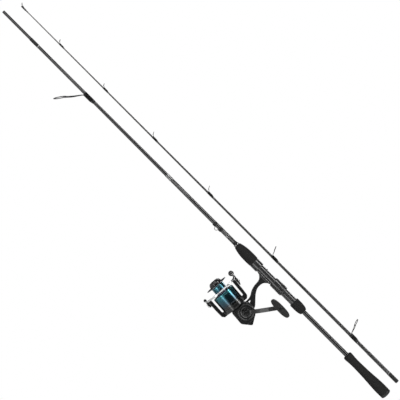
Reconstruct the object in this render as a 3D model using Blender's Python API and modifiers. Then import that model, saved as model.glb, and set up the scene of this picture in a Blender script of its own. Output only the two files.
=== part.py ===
"""Two-piece spinning rod with a fixed-spool reel, laid out as it is held in use.

Frame: +X runs along the rod towards its tip, +Z is up, the reel hangs at -Z and the crank handle is at +Y.
The origin is on the rod's axis, above the reel's stem, where a hand holds the rod.  The tip section is off
its ferrule and lies above the butt section.  Sizes are in millimetres; MM turns them into metres.
"""
from math import cos, pi, radians, sin

import bmesh
import bpy
from mathutils import Matrix, Vector

MM = 0.001

# ---- shared fits -------------------------------------------------------------------------------------------
GAP = 0.3                    # play left between pieces that touch
FINE_GAP = 0.15              # the same, inside the small line guides
STEPS = 24                   # facets of a turned piece

# ---- butt section ------------------------------------------------------------------------------------------
BUTT_END = -350.0            # rear face of the butt cap
CAP_LENGTH = 6.7
CAP_RADIUS = 11.6
BUTT_GRIP_LENGTH = 109.0
REAR_GRIP_LENGTH = 28.7
SEAT_REAR = -78.0
SEAT_FRONT = 39.0
SEAT_RADIUS = 8.5            # barrel under the reel foot
SEAT_BORE = 5.7
THREAD_RADIUS = SEAT_RADIUS + 0.3     # rear of the barrel, where the nut runs
HOOD_RADIUS = SEAT_RADIUS + 2.7
FIXED_HOOD_LENGTH = 18.0
SLIDING_HOOD_LENGTH = 11.0
NUT_LENGTH = 18.7
HOOD_FRONT = -19.0           # front edge of the sliding hood when the foot is clamped
HOOD_WALL = 2.0
FORE_GRIP_LENGTH = 47.7
CHECK_LENGTH = 3.7
SPIGOT_START = 692.0         # shoulder that the tip section comes up against
SPIGOT_LENGTH = 80.0
SPIGOT_RADIUS = 3.1
BLANK_WALL = 0.9
BLANK_STATIONS = ((-343.0, 5.3), (-107.0, 4.95), (90.0, 4.65), (147.0, 4.4), (358.0, 3.9), (482.0, 3.6),
                  (692.0, 3.3))

# ---- tip section -------------------------------------------------------------------------------------------
TIP_AXIS_Z = 34.6            # where the loose tip section lies
TIP_BASE = -347.0
SOCKET_LENGTH = 85.0
TIP_END = 752.0
TIP_STATIONS = ((-347.0, 3.95), (-97.0, 3.2), (58.0, 2.45), (400.0, 1.7), (752.0, 1.0))

# ---- reel foot and stem ------------------------------------------------------------------------------------
FOOT_FLAT_Z = 1.3 - SEAT_RADIUS       # flat on the seat that the foot lies on
FOOT_END_THICKNESS = 1.3
FOOT_MIDDLE_THICKNESS = 3.0
FOOT_HALF_WIDTH = 5.0
FOOT_REAR = -28.0
FOOT_FRONT = 33.0
STEM_THICKNESS = 9.0
STEM_TOP = -9.4              # height where the stem leaves the foot
STEM_DRAWN_DROP = 92.5       # reel drop that the stem outline is drawn for

# ---- reel, in its own frame: u along the spool axis, w up --------------------------------------------------
REEL_DROP = 92.5             # spool axis below the rod axis at u = 0
REEL_TILT = 4.0              # degrees, nose up
POD_BACK_Y = -16.0
COVER_Y = 13.3               # inner face of the side cover
COVER_THICKNESS = 2.7
POD_WALL = 2.3
DRIVE_U = -21.3
DRIVE_W = 10.0
DRIVE_SHAFT_RADIUS = 3.0
DRIVE_GEAR_RADIUS = 14.0
DRIVE_TEETH = 36
PINION_TEETH = 7
PINION_TIP = 4.6
PINION_TUBE = 4.2
OSC_TEETH = 16
OSC_RADIUS = 7.2
OSC_ANGLE = 217.3            # degrees, where the oscillation gear sits about the drive shaft
OSC_Y = 5.3
OSC_WIDTH = 3.0
BEARING_RADIUS = 5.5
PINION_BEARING_RADIUS = 8.0
SHAFT_RADIUS = 2.5
SHAFT_REAR = -42.0
SHAFT_FRONT = 66.2

# ---- handle ------------------------------------------------------------------------------------------------
HANDLE_LENGTH = 67.5
HANDLE_ANGLE = 120.0         # degrees above the rod's forward direction
ARM_THICKNESS = 5.0
ARM_WIDTH = 8.6
ARM_ROOT_Y = 29.7
ARM_TIP_Y = 53.0
KNOB_LENGTH = 47.0
KNOB_HEIGHT = 14.5
KNOB_START_Y = 56.6
KNOB_DEPTH = 22.0
KNOB_POST_RADIUS = 2.5

# ---- rotor, bail and spool ---------------------------------------------------------------------------------
SKIRT_RADIUS = 24.75
ROTOR_REAR = -2.0
ROTOR_RADIUS = SKIRT_RADIUS + 0.75
ROTOR_CUP_RADIUS = SKIRT_RADIUS - 2.15
ROTOR_CUP_FRONT = 34.0
ARM_INNER = SKIRT_RADIUS + 3.85
ARM_OUTER = ARM_INNER + 7.7
ARM_END_U = 43.5
ARM_HALF_WIDTH = 8.0
BOSS_RADIUS = 11.7
SKIRT_WALL = 1.5
SKIRT_REAR = 8.0
SKIRT_FRONT = 39.7
ARBOR_RADIUS = 14.0
LIP_RADIUS = SKIRT_RADIUS - 0.4
LIP_U = 60.5
DRAG_POCKET_RADIUS = 11.8
DRAG_POCKET_U = 50.0
KNOB_NOSE_U = 70.0
DRAG_KNOB_RADIUS = 14.35
BAIL_PIVOT_U = 38.0
BAIL_LEVER_THICKNESS = 4.2
BAIL_BOW = 47.0
BAIL_WIRE_RADIUS = 1.7
ROLLER_U = 58.9
ROLLER_W = ARM_OUTER + 2.5
ROLLER_RADIUS = 4.5
BAIL_BALL_RADIUS = 5.8
HOLDER_U = 50.8
PIVOT_SCREW_RADIUS = 2.0

PALETTE = {
    "blank_gloss": ((0.018, 0.018, 0.020), 0.18, 0.0),
    "grip_foam": ((0.030, 0.029, 0.028), 0.85, 0.0),
    "seat_graphite": ((0.025, 0.025, 0.027), 0.30, 0.0),
    "body_paint": ((0.035, 0.036, 0.038), 0.35, 0.0),
    "rotor_paint": ((0.020, 0.020, 0.022), 0.30, 0.0),
    "spool_anodised": ((0.020, 0.060, 0.110), 0.22, 0.9),
    "knob_rubber": ((0.050, 0.050, 0.050), 0.60, 0.0),
    "bright_steel": ((0.60, 0.60, 0.62), 0.20, 1.0),
    "guide_steel": ((0.10, 0.10, 0.11), 0.30, 1.0),
    "ring_ceramic": ((0.030, 0.030, 0.032), 0.12, 0.0),
    "gear_brass": ((0.55, 0.40, 0.16), 0.30, 1.0),
}


# ---- scene -------------------------------------------------------------------------------------------------
def clear_scene():
    for old in list(bpy.data.objects):
        bpy.data.objects.remove(old, do_unlink=True)


def collection(name):
    made = bpy.data.collections.new(name)
    bpy.context.scene.collection.children.link(made)
    return made


def material(name):
    colour, roughness, metallic = PALETTE[name]
    made = bpy.data.materials.get(name)
    if made is None:
        made = bpy.data.materials.new(name)
        made.use_nodes = True
        shader = made.node_tree.nodes["Principled BSDF"]
        shader.inputs["Base Color"].default_value = (*colour, 1.0)
        shader.inputs["Roughness"].default_value = roughness
        shader.inputs["Metallic"].default_value = metallic
    return made


def put_in(obj, target):
    for owner in list(obj.users_collection):
        owner.objects.unlink(obj)
    target.objects.link(obj)


def empty(name, position, rotation=(0.0, 0.0, 0.0), parent=None):
    made = bpy.data.objects.new(name, None)
    PARTS.objects.link(made)
    made.location = Vector(position) * MM
    made.rotation_euler = rotation
    made.parent = parent
    return made


def finish(obj, name, finish_name, parent=None):
    """Name a finished sub-part, give it its material and hang it on its parent."""
    obj.name = name
    obj.data.name = name
    obj.data.materials.clear()
    obj.data.materials.append(material(finish_name))
    obj.data.shade_smooth()
    obj.data.set_sharp_from_angle(angle=radians(35.0))
    put_in(obj, PARTS)
    obj.parent = parent
    hang_tools(obj)
    return obj


# ---- shapes ------------------------------------------------------------------------------------------------
ALONG_X = (0.0, pi / 2, 0.0)      # local Z to +X
ALONG_Y = (-pi / 2, 0.0, 0.0)     # local Z to +Y
SIDE_VIEW = (pi / 2, 0.0, 0.0)    # an outline drawn in X and Y stands up in X and Z
UPRIGHT = (0.0, 0.0, 0.0)
UPSIDE_DOWN = (pi, 0.0, 0.0)


def mesh_object(mesh, rotation=(0.0, 0.0, 0.0), location=(0.0, 0.0, 0.0)):
    made = bpy.data.objects.new("piece", mesh)
    bpy.context.scene.collection.objects.link(made)
    made.rotation_euler = rotation
    made.location = Vector(location) * MM
    return made


def turned(profile, rotation=ALONG_X, location=(0.0, 0.0, 0.0), steps=STEPS):
    """Turn (station, radius) points into a solid.  They run down the outer side from the highest station;
    a profile that starts off the axis is closed into a ring."""
    mesh = bpy.data.meshes.new("turned")
    ring = profile[0][1] > 0.0
    verts = [(radius * MM, 0.0, station * MM) for station, radius in profile]
    edges = [(i, i + 1) for i in range(len(verts) - 1)]
    if ring:
        edges.append((len(verts) - 1, 0))
    mesh.from_pydata(verts, edges, [])
    made = mesh_object(mesh, rotation, location)
    screw = made.modifiers.new("turn", "SCREW")
    screw.angle = 2.0 * pi
    screw.steps = steps
    screw.render_steps = steps
    screw.use_merge_vertices = True
    screw.merge_threshold = 0.00001
    return made


def tube(front, rear, outer, inner, **placing):
    return turned([(front, outer), (rear, outer), (rear, inner), (front, inner)], **placing)


def rod(front, rear, radius, **placing):
    return turned([(front, 0.0), (front, radius), (rear, radius), (rear, 0.0)], **placing)


def curve_to_mesh(obj):
    """Swap a curve for its welded mesh, which booleans and bevels can work on."""
    bpy.context.view_layer.update()
    graph = bpy.context.evaluated_depsgraph_get()
    mesh = bpy.data.meshes.new_from_object(obj.evaluated_get(graph))
    weld = bmesh.new()
    weld.from_mesh(mesh)
    bmesh.ops.remove_doubles(weld, verts=weld.verts, dist=0.00001)
    bmesh.ops.recalc_face_normals(weld, faces=weld.faces)
    weld.to_mesh(mesh)
    weld.free()
    made = bpy.data.objects.new("piece", mesh)
    bpy.context.scene.collection.objects.link(made)
    made.matrix_world = obj.matrix_world
    bpy.data.objects.remove(obj, do_unlink=True)
    return made


def plate(outline, thickness, rotation=SIDE_VIEW, location=(0.0, 0.0, 0.0)):
    """A flat outline with a thickness, centred on its location."""
    curve = bpy.data.curves.new("outline", "CURVE")
    curve.dimensions = "2D"
    curve.fill_mode = "BOTH"
    curve.extrude = thickness / 2 * MM
    spline = curve.splines.new("POLY")
    spline.points.add(len(outline) - 1)
    for point, (x, y) in zip(spline.points, outline):
        point.co = (x * MM, y * MM, 0.0, 1.0)
    spline.use_cyclic_u = True
    drawn = bpy.data.objects.new("outline", curve)
    bpy.context.scene.collection.objects.link(drawn)
    drawn.rotation_euler = rotation
    drawn.location = Vector(location) * MM
    return curve_to_mesh(drawn)


def wire(points, radius, resolution=2):
    """A round wire with closed ends along a list of points."""
    curve = bpy.data.curves.new("wire", "CURVE")
    curve.dimensions = "3D"
    curve.bevel_depth = radius * MM
    curve.bevel_resolution = resolution
    curve.use_fill_caps = True
    spline = curve.splines.new("POLY")
    spline.points.add(len(points) - 1)
    for point, place in zip(spline.points, points):
        point.co = (*(Vector(place) * MM), 1.0)
    drawn = bpy.data.objects.new("wire", curve)
    bpy.context.scene.collection.objects.link(drawn)
    return curve_to_mesh(drawn)


def block(low, high):
    """A box between two corners."""
    mesh = bpy.data.meshes.new("block")
    shape = bmesh.new()
    size = [(b - a) * MM for a, b in zip(low, high)]
    middle = [(a + b) / 2 * MM for a, b in zip(low, high)]
    bmesh.ops.create_cube(shape, size=1.0, matrix=Matrix.Translation(middle) @ Matrix.Diagonal((*size, 1.0)))
    shape.to_mesh(mesh)
    shape.free()
    return mesh_object(mesh)


def ball(centre, radius, segments=20, rings=12):
    mesh = bpy.data.meshes.new("ball")
    shape = bmesh.new()
    bmesh.ops.create_uvsphere(shape, u_segments=segments, v_segments=rings, radius=radius * MM)
    shape.to_mesh(mesh)
    shape.free()
    return mesh_object(mesh, location=centre)


def ring(centre, major, minor, lean, sides):
    """A round-section ring that stands across the rod, its upper side leaning towards +X by degrees."""
    profile = []
    for i in range(sides):
        angle = -2.0 * pi * i / sides
        profile.append((minor * sin(angle), major + minor * cos(angle)))
    return turned(profile, rotation=(0.0, pi / 2 + radians(lean), 0.0), location=centre, steps=20)


def bevelled(obj, width, segments=2):
    rounding = obj.modifiers.new("rounding", "BEVEL")
    rounding.width = width * MM
    rounding.segments = segments
    rounding.limit_method = "ANGLE"
    rounding.angle_limit = radians(40.0)
    return obj


def combine(obj, tool, operation, solver="EXACT"):
    """Add a boolean with a tool that goes to the cutters' collection."""
    step = obj.modifiers.new(operation.lower(), "BOOLEAN")
    step.operation = operation
    step.solver = solver
    step.object = tool
    tool.hide_render = True
    tool.display_type = "WIRE"
    put_in(tool, CUTTERS)
    return obj


def cut(obj, *tools):
    for tool in tools:
        combine(obj, tool, "DIFFERENCE")
    return obj


def join(obj, *tools):
    for tool in tools:
        combine(obj, tool, "UNION")
    return obj


def hang_tools(obj):
    """Boolean tools hang on the same axis as the piece that they shape, unless they have their own."""
    for step in obj.modifiers:
        if step.type == "BOOLEAN" and step.object.parent is None:
            step.object.parent = obj.parent
            hang_tools(step.object)


# ---- outlines ----------------------------------------------------------------------------------------------
def rounded(corners, radius, pieces=3):
    """Replace each corner of a closed outline with a short arc."""
    outline = []
    count = len(corners)
    for i, corner in enumerate(corners):
        here = Vector(corner)
        before = Vector(corners[i - 1]) - here
        after = Vector(corners[(i + 1) % count]) - here
        reach = min(radius, 0.45 * before.length, 0.45 * after.length)
        start = here + before.normalized() * reach
        end = here + after.normalized() * reach
        for k in range(pieces + 1):
            t = k / pieces
            point = start * (1 - t) ** 2 + here * 2 * t * (1 - t) + end * t ** 2
            outline.append((point.x, point.y))
    return outline


def inset(corners, distance):
    """Move every side of a convex outline, drawn anticlockwise, inwards."""
    moved = []
    count = len(corners)
    for i, corner in enumerate(corners):
        here = Vector(corner)
        along_in = (here - Vector(corners[i - 1])).normalized()
        along_out = (Vector(corners[(i + 1) % count]) - here).normalized()
        normal_in = Vector((-along_in.y, along_in.x))
        normal_out = Vector((-along_out.y, along_out.x))
        bisector = (normal_in + normal_out).normalized()
        moved.append(tuple(here + bisector * distance / bisector.dot(normal_in)))
    return moved


def toothed(teeth, root, tip):
    """Outline of a gear wheel with straight-sided teeth."""
    outline = []
    for i in range(teeth):
        for share, radius in ((0.00, root), (0.22, tip), (0.50, tip), (0.72, root)):
            angle = 2.0 * pi * (i + share) / teeth
            outline.append((radius * cos(angle), radius * sin(angle)))
    return outline


def oval(length, height, points=28, squareness=2.7):
    outline = []
    for i in range(points):
        angle = 2.0 * pi * i / points
        x = abs(cos(angle)) ** (2 / squareness) * (1 if cos(angle) >= 0 else -1)
        y = abs(sin(angle)) ** (2 / squareness) * (1 if sin(angle) >= 0 else -1)
        outline.append((length / 2 * x, height / 2 * y))
    return outline


def smooth_path(points, pieces):
    """Points along a Catmull-Rom curve through the given ones."""
    path = [Vector(p) for p in points]
    ends = [2 * path[0] - path[1]] + path + [2 * path[-1] - path[-2]]
    made = []
    for a, b, c, d in zip(ends, ends[1:], ends[2:], ends[3:]):
        for k in range(pieces):
            t = k / pieces
            place = 2 * b + (c - a) * t
            place += (2 * a - 5 * b + 4 * c - d) * t ** 2
            place += (3 * b - a - 3 * c + d) * t ** 3
            made.append(tuple(place / 2))
    made.append(tuple(path[-1]))
    return made


def ribbon(points, thickness):
    """Outline of a strip with a thickness along a flat path."""
    path = [Vector(p) for p in points]
    left = []
    right = []
    for i, here in enumerate(path):
        ahead = path[min(i + 1, len(path) - 1)]
        behind = path[max(i - 1, 0)]
        along = (ahead - behind).normalized()
        side = Vector((-along.y, along.x)) * thickness / 2
        left.append(tuple(here + side))
        right.append(tuple(here - side))
    return right + left[::-1]


def taper(stations, x):
    """Radius at x along a list of (station, radius)."""
    for (x0, r0), (x1, r1) in zip(stations, stations[1:]):
        if x <= x1:
            return r0 + (r1 - r0) * (x - x0) / (x1 - x0)
    return stations[-1][1]


# ---- butt section ------------------------------------------------------------------------------------------
def build_butt_blank():
    rear = BUTT_END + CAP_LENGTH + GAP
    spigot_end = SPIGOT_START + SPIGOT_LENGTH
    outer = [(spigot_end, SPIGOT_RADIUS - 0.4), (spigot_end - 1.0, SPIGOT_RADIUS)]
    outer += [(SPIGOT_START + 0.4, SPIGOT_RADIUS)]
    outer += [(x, r) for x, r in reversed(BLANK_STATIONS) if x > rear]
    outer += [(rear, BLANK_STATIONS[0][1])]
    bore = [(x, r - BLANK_WALL) for x, r in outer[::-1][:-3]]
    bore += [(spigot_end, SPIGOT_RADIUS - BLANK_WALL)]
    finish(turned(outer + bore, steps=16), "butt_blank", "blank_gloss")


def grip_bore(x):
    return taper(BLANK_STATIONS, x) + GAP


def build_grips():
    rear = BUTT_END + CAP_LENGTH + GAP
    front = rear + BUTT_GRIP_LENGTH
    bore = grip_bore(rear)
    cap = turned([(BUTT_END + CAP_LENGTH, 0.0), (BUTT_END + CAP_LENGTH, CAP_RADIUS), (BUTT_END + 2.4, CAP_RADIUS),
                  (BUTT_END + 0.7, CAP_RADIUS - 0.8), (BUTT_END, CAP_RADIUS - 2.6), (BUTT_END, 0.0)])
    finish(cap, "butt_cap", "knob_rubber")
    shape = ((0.0, 7.9), (-1.3, 9.4), (-3.5, 9.8), (-8.0, 9.5), (-20.0, 8.5), (-35.0, 8.7), (-52.0, 9.2),
             (-66.0, 10.0), (-81.0, 11.1), (-95.0, 11.8))
    outer = [(front + offset, radius) for offset, radius in shape] + [(rear, CAP_RADIUS)]
    finish(turned(outer + [(rear, bore), (front, bore)]), "butt_grip", "grip_foam")

    front = SEAT_REAR - GAP
    rear = front - REAR_GRIP_LENGTH
    bore = grip_bore(rear)
    outer = [(front, 10.2), (front - 1.0, 10.8), (front - 14.0, 10.8), (front - 21.0, 10.2), (front - 26.0, 9.0),
             (rear, 7.4)]
    finish(turned(outer + [(rear, bore), (front, bore)]), "rear_grip", "grip_foam")

    rear = SEAT_FRONT + GAP
    front = rear + FORE_GRIP_LENGTH
    bore = grip_bore(rear)
    outer = [(front, 6.6), (front - 2.0, 7.9), (front - 7.0, 9.1), (front - 14.0, 10.6), (front - 25.0, 11.7),
             (front - 38.0, 11.9), (rear + 1.0, 11.5), (rear, 11.2)]
    finish(turned(outer + [(rear, bore), (front, bore)]), "fore_grip", "grip_foam")

    start = front + GAP
    inner = grip_bore(start)
    check = tube(start + CHECK_LENGTH, start, inner + 1.2, inner)
    finish(check, "winding_check", "bright_steel")


def toe_pocket(rear, front):
    """Space in a hood for one end of the reel foot."""
    half = FOOT_HALF_WIDTH + GAP
    low = FOOT_FLAT_Z - GAP - FOOT_END_THICKNESS - GAP
    return block((rear, -half, low), (front, half, FOOT_FLAT_Z + 0.01))


def build_seat():
    hood_rear = SEAT_FRONT - FIXED_HOOD_LENGTH
    outer = [(SEAT_FRONT, HOOD_RADIUS - 0.5), (SEAT_FRONT - 0.6, HOOD_RADIUS), (hood_rear + 1.0, HOOD_RADIUS),
             (hood_rear, HOOD_RADIUS - 0.7), (hood_rear, SEAT_RADIUS), (HOOD_FRONT, SEAT_RADIUS),
             (HOOD_FRONT - 0.5, THREAD_RADIUS), (SEAT_REAR, THREAD_RADIUS)]
    seat = turned(outer + [(SEAT_REAR, SEAT_BORE), (SEAT_FRONT, SEAT_BORE)])
    flat = block((FOOT_REAR - 1.0, -HOOD_RADIUS, -HOOD_RADIUS - 1.0), (hood_rear, HOOD_RADIUS, FOOT_FLAT_Z))
    cut(seat, flat, toe_pocket(hood_rear - 1.0, FOOT_FRONT + GAP))
    finish(seat, "reel_seat", "seat_graphite")


def build_clamp():
    """The hood slides to free the foot; the nut behind it runs on the seat's thread."""
    bore = THREAD_RADIUS + GAP
    outer = bore + HOOD_WALL
    rear = HOOD_FRONT - SLIDING_HOOD_LENGTH
    hood = turned([(HOOD_FRONT, outer - 0.6), (HOOD_FRONT - 0.8, outer), (rear, outer), (rear, bore),
                   (HOOD_FRONT, bore)])
    cut(hood, toe_pocket(FOOT_REAR - GAP, HOOD_FRONT + 1.0))
    hang = empty("hood_slide_axis", (0.0, 0.0, 0.0))
    finish(hood, "sliding_hood", "seat_graphite", hang)
    front = rear - GAP
    nut = turned([(front, outer), (front - NUT_LENGTH + 1.0, outer), (front - NUT_LENGTH, outer - 0.8),
                  (front - NUT_LENGTH, bore), (front, bore)])
    finish(nut, "locking_nut", "seat_graphite", hang)


def build_hook_keeper():
    radius = 0.6
    height = -(taper(BLANK_STATIONS, 139.0) + GAP + radius)
    path = smooth_path([(133.0, 0.0, height), (138.0, 0.0, height), (140.5, 0.0, height - 3.6),
                        (144.5, 0.0, height - 3.6), (147.0, 0.0, height), (152.0, 0.0, height)], 3)
    finish(wire(path, radius), "hook_keeper", "bright_steel")


# ---- line guides -------------------------------------------------------------------------------------------
def build_guide(name, foot_rear, foot_front, ring_x, rise, diameter, lean, stock, axis_z, side, blank, parent):
    """A wire frame with a foot on the blank, two legs and a ring that leans towards the tip, and its insert.
    side is 1 for a guide above the blank and -1 for one below it; stock is the frame wire's radius."""
    play = GAP if diameter > 20.0 else FINE_GAP
    surface = taper(blank, foot_rear) + play
    foot_height = axis_z + side * (surface + stock)
    centre = Vector((ring_x, 0.0, axis_z + side * rise))
    out = Vector((sin(radians(lean)), 0.0, side * cos(radians(lean))))
    major = diameter / 2 - stock
    hoop = ring(centre, major, stock, side * lean, 6)
    flat = 0.55 * stock
    low_z = min(axis_z + side * surface, axis_z + side * (surface + 2 * flat))
    high_z = max(axis_z + side * surface, axis_z + side * (surface + 2 * flat))
    join(hoop, block((foot_rear, -1.5 * stock, low_z), (foot_front, 1.5 * stock, high_z)))
    for hand in (-1, 1):
        start = Vector((foot_front - 3.0 * stock, hand * 0.8 * stock, foot_height))
        knee = Vector((foot_front + 1.0 * stock, hand * 1.4 * stock, foot_height + side * 2.2 * stock))
        end = centre - out * major * 0.45 + Vector((0.0, hand * major * 0.893, 0.0))
        middle = knee.lerp(end, 0.55) + Vector((-0.03 * rise, hand * major * 0.10, 0.0))
        join(hoop, wire(smooth_path([start, knee, middle, end], 2), stock, 1))
    finish(hoop, name + "_frame", "guide_steel", parent)
    insert_stock = 0.8 * stock
    insert_major = major - stock - play - insert_stock
    insert = ring(centre, insert_major, insert_stock, side * lean, 6)
    finish(insert, name + "_insert", "ring_ceramic", parent)


GUIDES = (
    ("guide_1", -226.0, -209.0, -200.0, 26.3, 16.4, 18.0, 0.65),
    ("guide_2", 7.0, 21.0, 26.8, 16.2, 11.5, 23.0, 0.55),
    ("guide_3", 196.0, 208.0, 213.0, 8.8, 9.0, 24.0, 0.50),
    ("guide_4", 359.0, 370.0, 374.0, 7.0, 7.0, 25.0, 0.45),
    ("guide_5", 504.0, 514.0, 517.5, 5.5, 6.0, 25.0, 0.42),
    ("guide_6", 633.0, 643.0, 646.5, 5.6, 5.7, 25.0, 0.42),
)


def build_tip_section():
    hang = empty("tip_section_axis", (TIP_BASE, 0.0, TIP_AXIS_Z))
    at_axis = (-TIP_BASE, 0.0, 0.0)
    socket_bore = SPIGOT_RADIUS + 0.2
    socket_front = TIP_BASE + SOCKET_LENGTH
    socket = tube(socket_front, TIP_BASE, taper(TIP_STATIONS, TIP_BASE), socket_bore, location=at_axis)
    finish(socket, "ferrule_socket", "blank_gloss", hang)
    start = socket_front + GAP
    outer = [(TIP_END, 0.0)] + [(x, r) for x, r in reversed(TIP_STATIONS) if x > start]
    outer += [(start, taper(TIP_STATIONS, start)), (start, 0.0)]
    finish(turned(outer, location=at_axis, steps=16), "tip_blank", "blank_gloss", hang)

    local = empty("tip_section_frame", (-TIP_BASE, 0.0, -TIP_AXIS_Z), parent=hang)
    for name, rear, front, ring_x, rise, diameter, lean, stock in GUIDES:
        build_guide(name, rear, front, ring_x, rise, diameter, lean, stock, TIP_AXIS_Z, 1, TIP_STATIONS, local)

    stock = 0.4
    bore = taper(TIP_STATIONS, TIP_END - 12.0) + FINE_GAP
    cap = tube(TIP_END + 1.0, TIP_END - 12.0, bore + 0.5, bore, location=(0.0, 0.0, TIP_AXIS_Z), steps=16)
    centre = Vector((TIP_END + 3.4, 0.0, TIP_AXIS_Z + 3.7))
    lean = 40.0
    out = Vector((sin(radians(lean)), 0.0, cos(radians(lean))))
    major = 2.5
    join(cap, ring(centre, major, stock, lean, 6))
    for hand in (-1, 1):
        start = Vector((TIP_END - 5.0, hand * 0.5, TIP_AXIS_Z + bore + 0.3))
        end = centre - out * major * 0.2 + Vector((0.0, hand * major * 0.98, 0.0))
        join(cap, wire(smooth_path([start, start.lerp(end, 0.55), end], 2), stock, 1))
    finish(cap, "tip_top_frame", "guide_steel", local)
    insert = ring(centre, major - stock - FINE_GAP - 0.35, 0.35, lean, 6)
    finish(insert, "tip_top_insert", "ring_ceramic", local)


# ---- reel body ---------------------------------------------------------------------------------------------
POD_CORNERS = ((-3.5, -13.5), (-3.5, 20.0), (-12.0, 27.3), (-30.0, 27.5), (-37.0, 22.5), (-51.0, 2.5),
               (-33.5, -13.8))
TAIL_U = -43.0


def osc_centre():
    reach = 2 * OSC_RADIUS + GAP
    return (DRIVE_U + reach * cos(radians(OSC_ANGLE)), DRIVE_W + reach * sin(radians(OSC_ANGLE)))


def pod_plate(distance, low_y, high_y):
    outline = rounded(inset(POD_CORNERS, distance), 3.0)
    return plate(outline, high_y - low_y, location=(0.0, (low_y + high_y) / 2, 0.0))


def about_drive(shape, *sizes, **more):
    return shape(*sizes, rotation=ALONG_Y, location=(DRIVE_U, 0.0, DRIVE_W), **more)


def dropped(outline):
    """Stretch an outline of the stem to the reel's drop, from the height where it leaves the foot."""
    stretch = (REEL_DROP + STEM_TOP) / (STEM_DRAWN_DROP + STEM_TOP)
    return [(x, STEM_TOP + (z - STEM_TOP) * stretch) for x, z in outline]


def build_reel_body(reel):
    pod = bevelled(pod_plate(0.0, POD_BACK_Y, COVER_Y - GAP), 1.6)
    boss_front = ROTOR_REAR + 6.0 - GAP
    front_u = POD_CORNERS[0][0]
    boss = rod(boss_front, front_u - 1.0, BOSS_RADIUS)
    hollow = pod_plate(POD_WALL, POD_BACK_Y + POD_WALL, COVER_Y + 5.0)
    shaft_way = rod(boss_front + 1.0, front_u - POD_WALL - 1.0, PINION_BEARING_RADIUS + GAP)
    bearing_seat = about_drive(rod, POD_BACK_Y + POD_WALL + 1.0, POD_BACK_Y - 1.0, BEARING_RADIUS + GAP)
    tail = block((TAIL_U - 20.0, -30.0, -30.0), (TAIL_U, 30.0, 40.0))

    stem_outline = [(14.5, -9.4), (6.4, -15.6), (3.8, -22.0), (3.3, -34.5), (-0.2, -45.6), (-7.3, -56.8),
                    (-7.8, -66.3), (-6.5, -78.0), (-32.0, -76.0), (-29.0, -63.5), (-11.3, -44.8), (-4.9, -34.5),
                    (-4.1, -24.0), (-6.4, -15.8), (-15.0, -9.4)]
    stem = bevelled(plate(rounded(dropped(stem_outline), 4.0, 2), STEM_THICKNESS), 1.3)
    foot_top = FOOT_FLAT_Z - GAP
    middle_z = foot_top - FOOT_MIDDLE_THICKNESS
    end_z = foot_top - FOOT_END_THICKNESS
    foot_outline = [(FOOT_FRONT, foot_top), (FOOT_FRONT, end_z), (SEAT_FRONT - FIXED_HOOD_LENGTH - 1.5, end_z),
                    (14.0, middle_z), (-14.0, middle_z), (HOOD_FRONT + 1.5, end_z), (FOOT_REAR, end_z),
                    (FOOT_REAR, foot_top)]
    foot = plate(foot_outline[::-1], 2 * FOOT_HALF_WIDTH)
    window_outline = dropped([(-15.8, -66.0), (-10.9, -66.0), (-12.2, -59.6)])
    window = plate(rounded(window_outline, 1.0), 3 * STEM_THICKNESS)
    pin_x, pin_z = dropped([(-9.6, -69.6)])[0]
    pinhole = rod(20.0, -20.0, 1.6, rotation=ALONG_Y, location=(pin_x, 0.0, pin_z))

    for piece in (pod, boss, hollow, shaft_way, bearing_seat, tail):
        piece.parent = reel
    cut(stem, window, pinhole)
    combine(stem, foot, "UNION", "MANIFOLD")
    cut(pod, tail)
    join(stem, pod, boss)
    cut(stem, hollow, shaft_way)
    combine(stem, bearing_seat, "DIFFERENCE", "MANIFOLD")
    finish(stem, "reel_body", "body_paint")


def build_covers(reel):
    cover = bevelled(pod_plate(0.0, COVER_Y, COVER_Y + COVER_THICKNESS), 1.0)
    face = COVER_Y + COVER_THICKNESS
    bore = BEARING_RADIUS + GAP
    raised = about_drive(turned, [(face + 1.8, 0.0), (face + 1.8, 9.5), (face + 1.0, 11.8), (face + 1.9, 14.0),
                                  (face + 1.4, 16.0), (face - 1.0, 17.2), (face - 1.0, 0.0)])
    osc_u, osc_w = osc_centre()
    post = rod(COVER_Y + 1.0, OSC_Y + 0.3, 1.5, rotation=ALONG_Y, location=(osc_u, 0.0, osc_w), steps=16)
    opening = about_drive(rod, face + 5.0, COVER_Y - 1.0, bore)
    tail = block((TAIL_U - 20.0, -30.0, -30.0), (TAIL_U, 30.0, 40.0))
    join(cover, raised, post)
    cut(cover, opening, tail)
    finish(cover, "side_cover", "body_paint", reel)

    tail_cover = bevelled(pod_plate(0.0, POD_BACK_Y, face), 1.6)
    cut(tail_cover, block((TAIL_U - GAP, -30.0, -30.0), (20.0, 30.0, 40.0)))
    finish(tail_cover, "tail_cover", "body_paint", reel)

    left = about_drive(tube, face, COVER_Y - 0.8, BEARING_RADIUS, DRIVE_SHAFT_RADIUS + GAP)
    finish(left, "drive_bearing_left", "bright_steel", reel)
    right = about_drive(tube, POD_BACK_Y + POD_WALL + 0.5, POD_BACK_Y + 0.2, BEARING_RADIUS,
                        DRIVE_SHAFT_RADIUS + GAP)
    finish(right, "drive_bearing_right", "bright_steel", reel)
    rim = POD_BACK_Y - GAP
    cap = about_drive(turned, [(rim, 0.0), (rim, 8.0), (rim - 1.4, 8.0), (rim - 2.4, 7.0), (rim - 2.4, 0.0)])
    finish(cap, "bearing_cap", "body_paint", reel)


def build_pinion_supports(reel):
    rear = POD_CORNERS[0][0] - POD_WALL + 0.3
    middle = rear + 4.3
    inner = PINION_TUBE + GAP
    bearing = tube(middle, rear, PINION_BEARING_RADIUS, inner)
    finish(bearing, "pinion_bearing", "bright_steel", reel)
    clutch = tube(ROTOR_REAR + 6.0 - 2 * GAP, middle + GAP, PINION_BEARING_RADIUS, inner)
    finish(clutch, "one_way_clutch", "bright_steel", reel)


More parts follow.
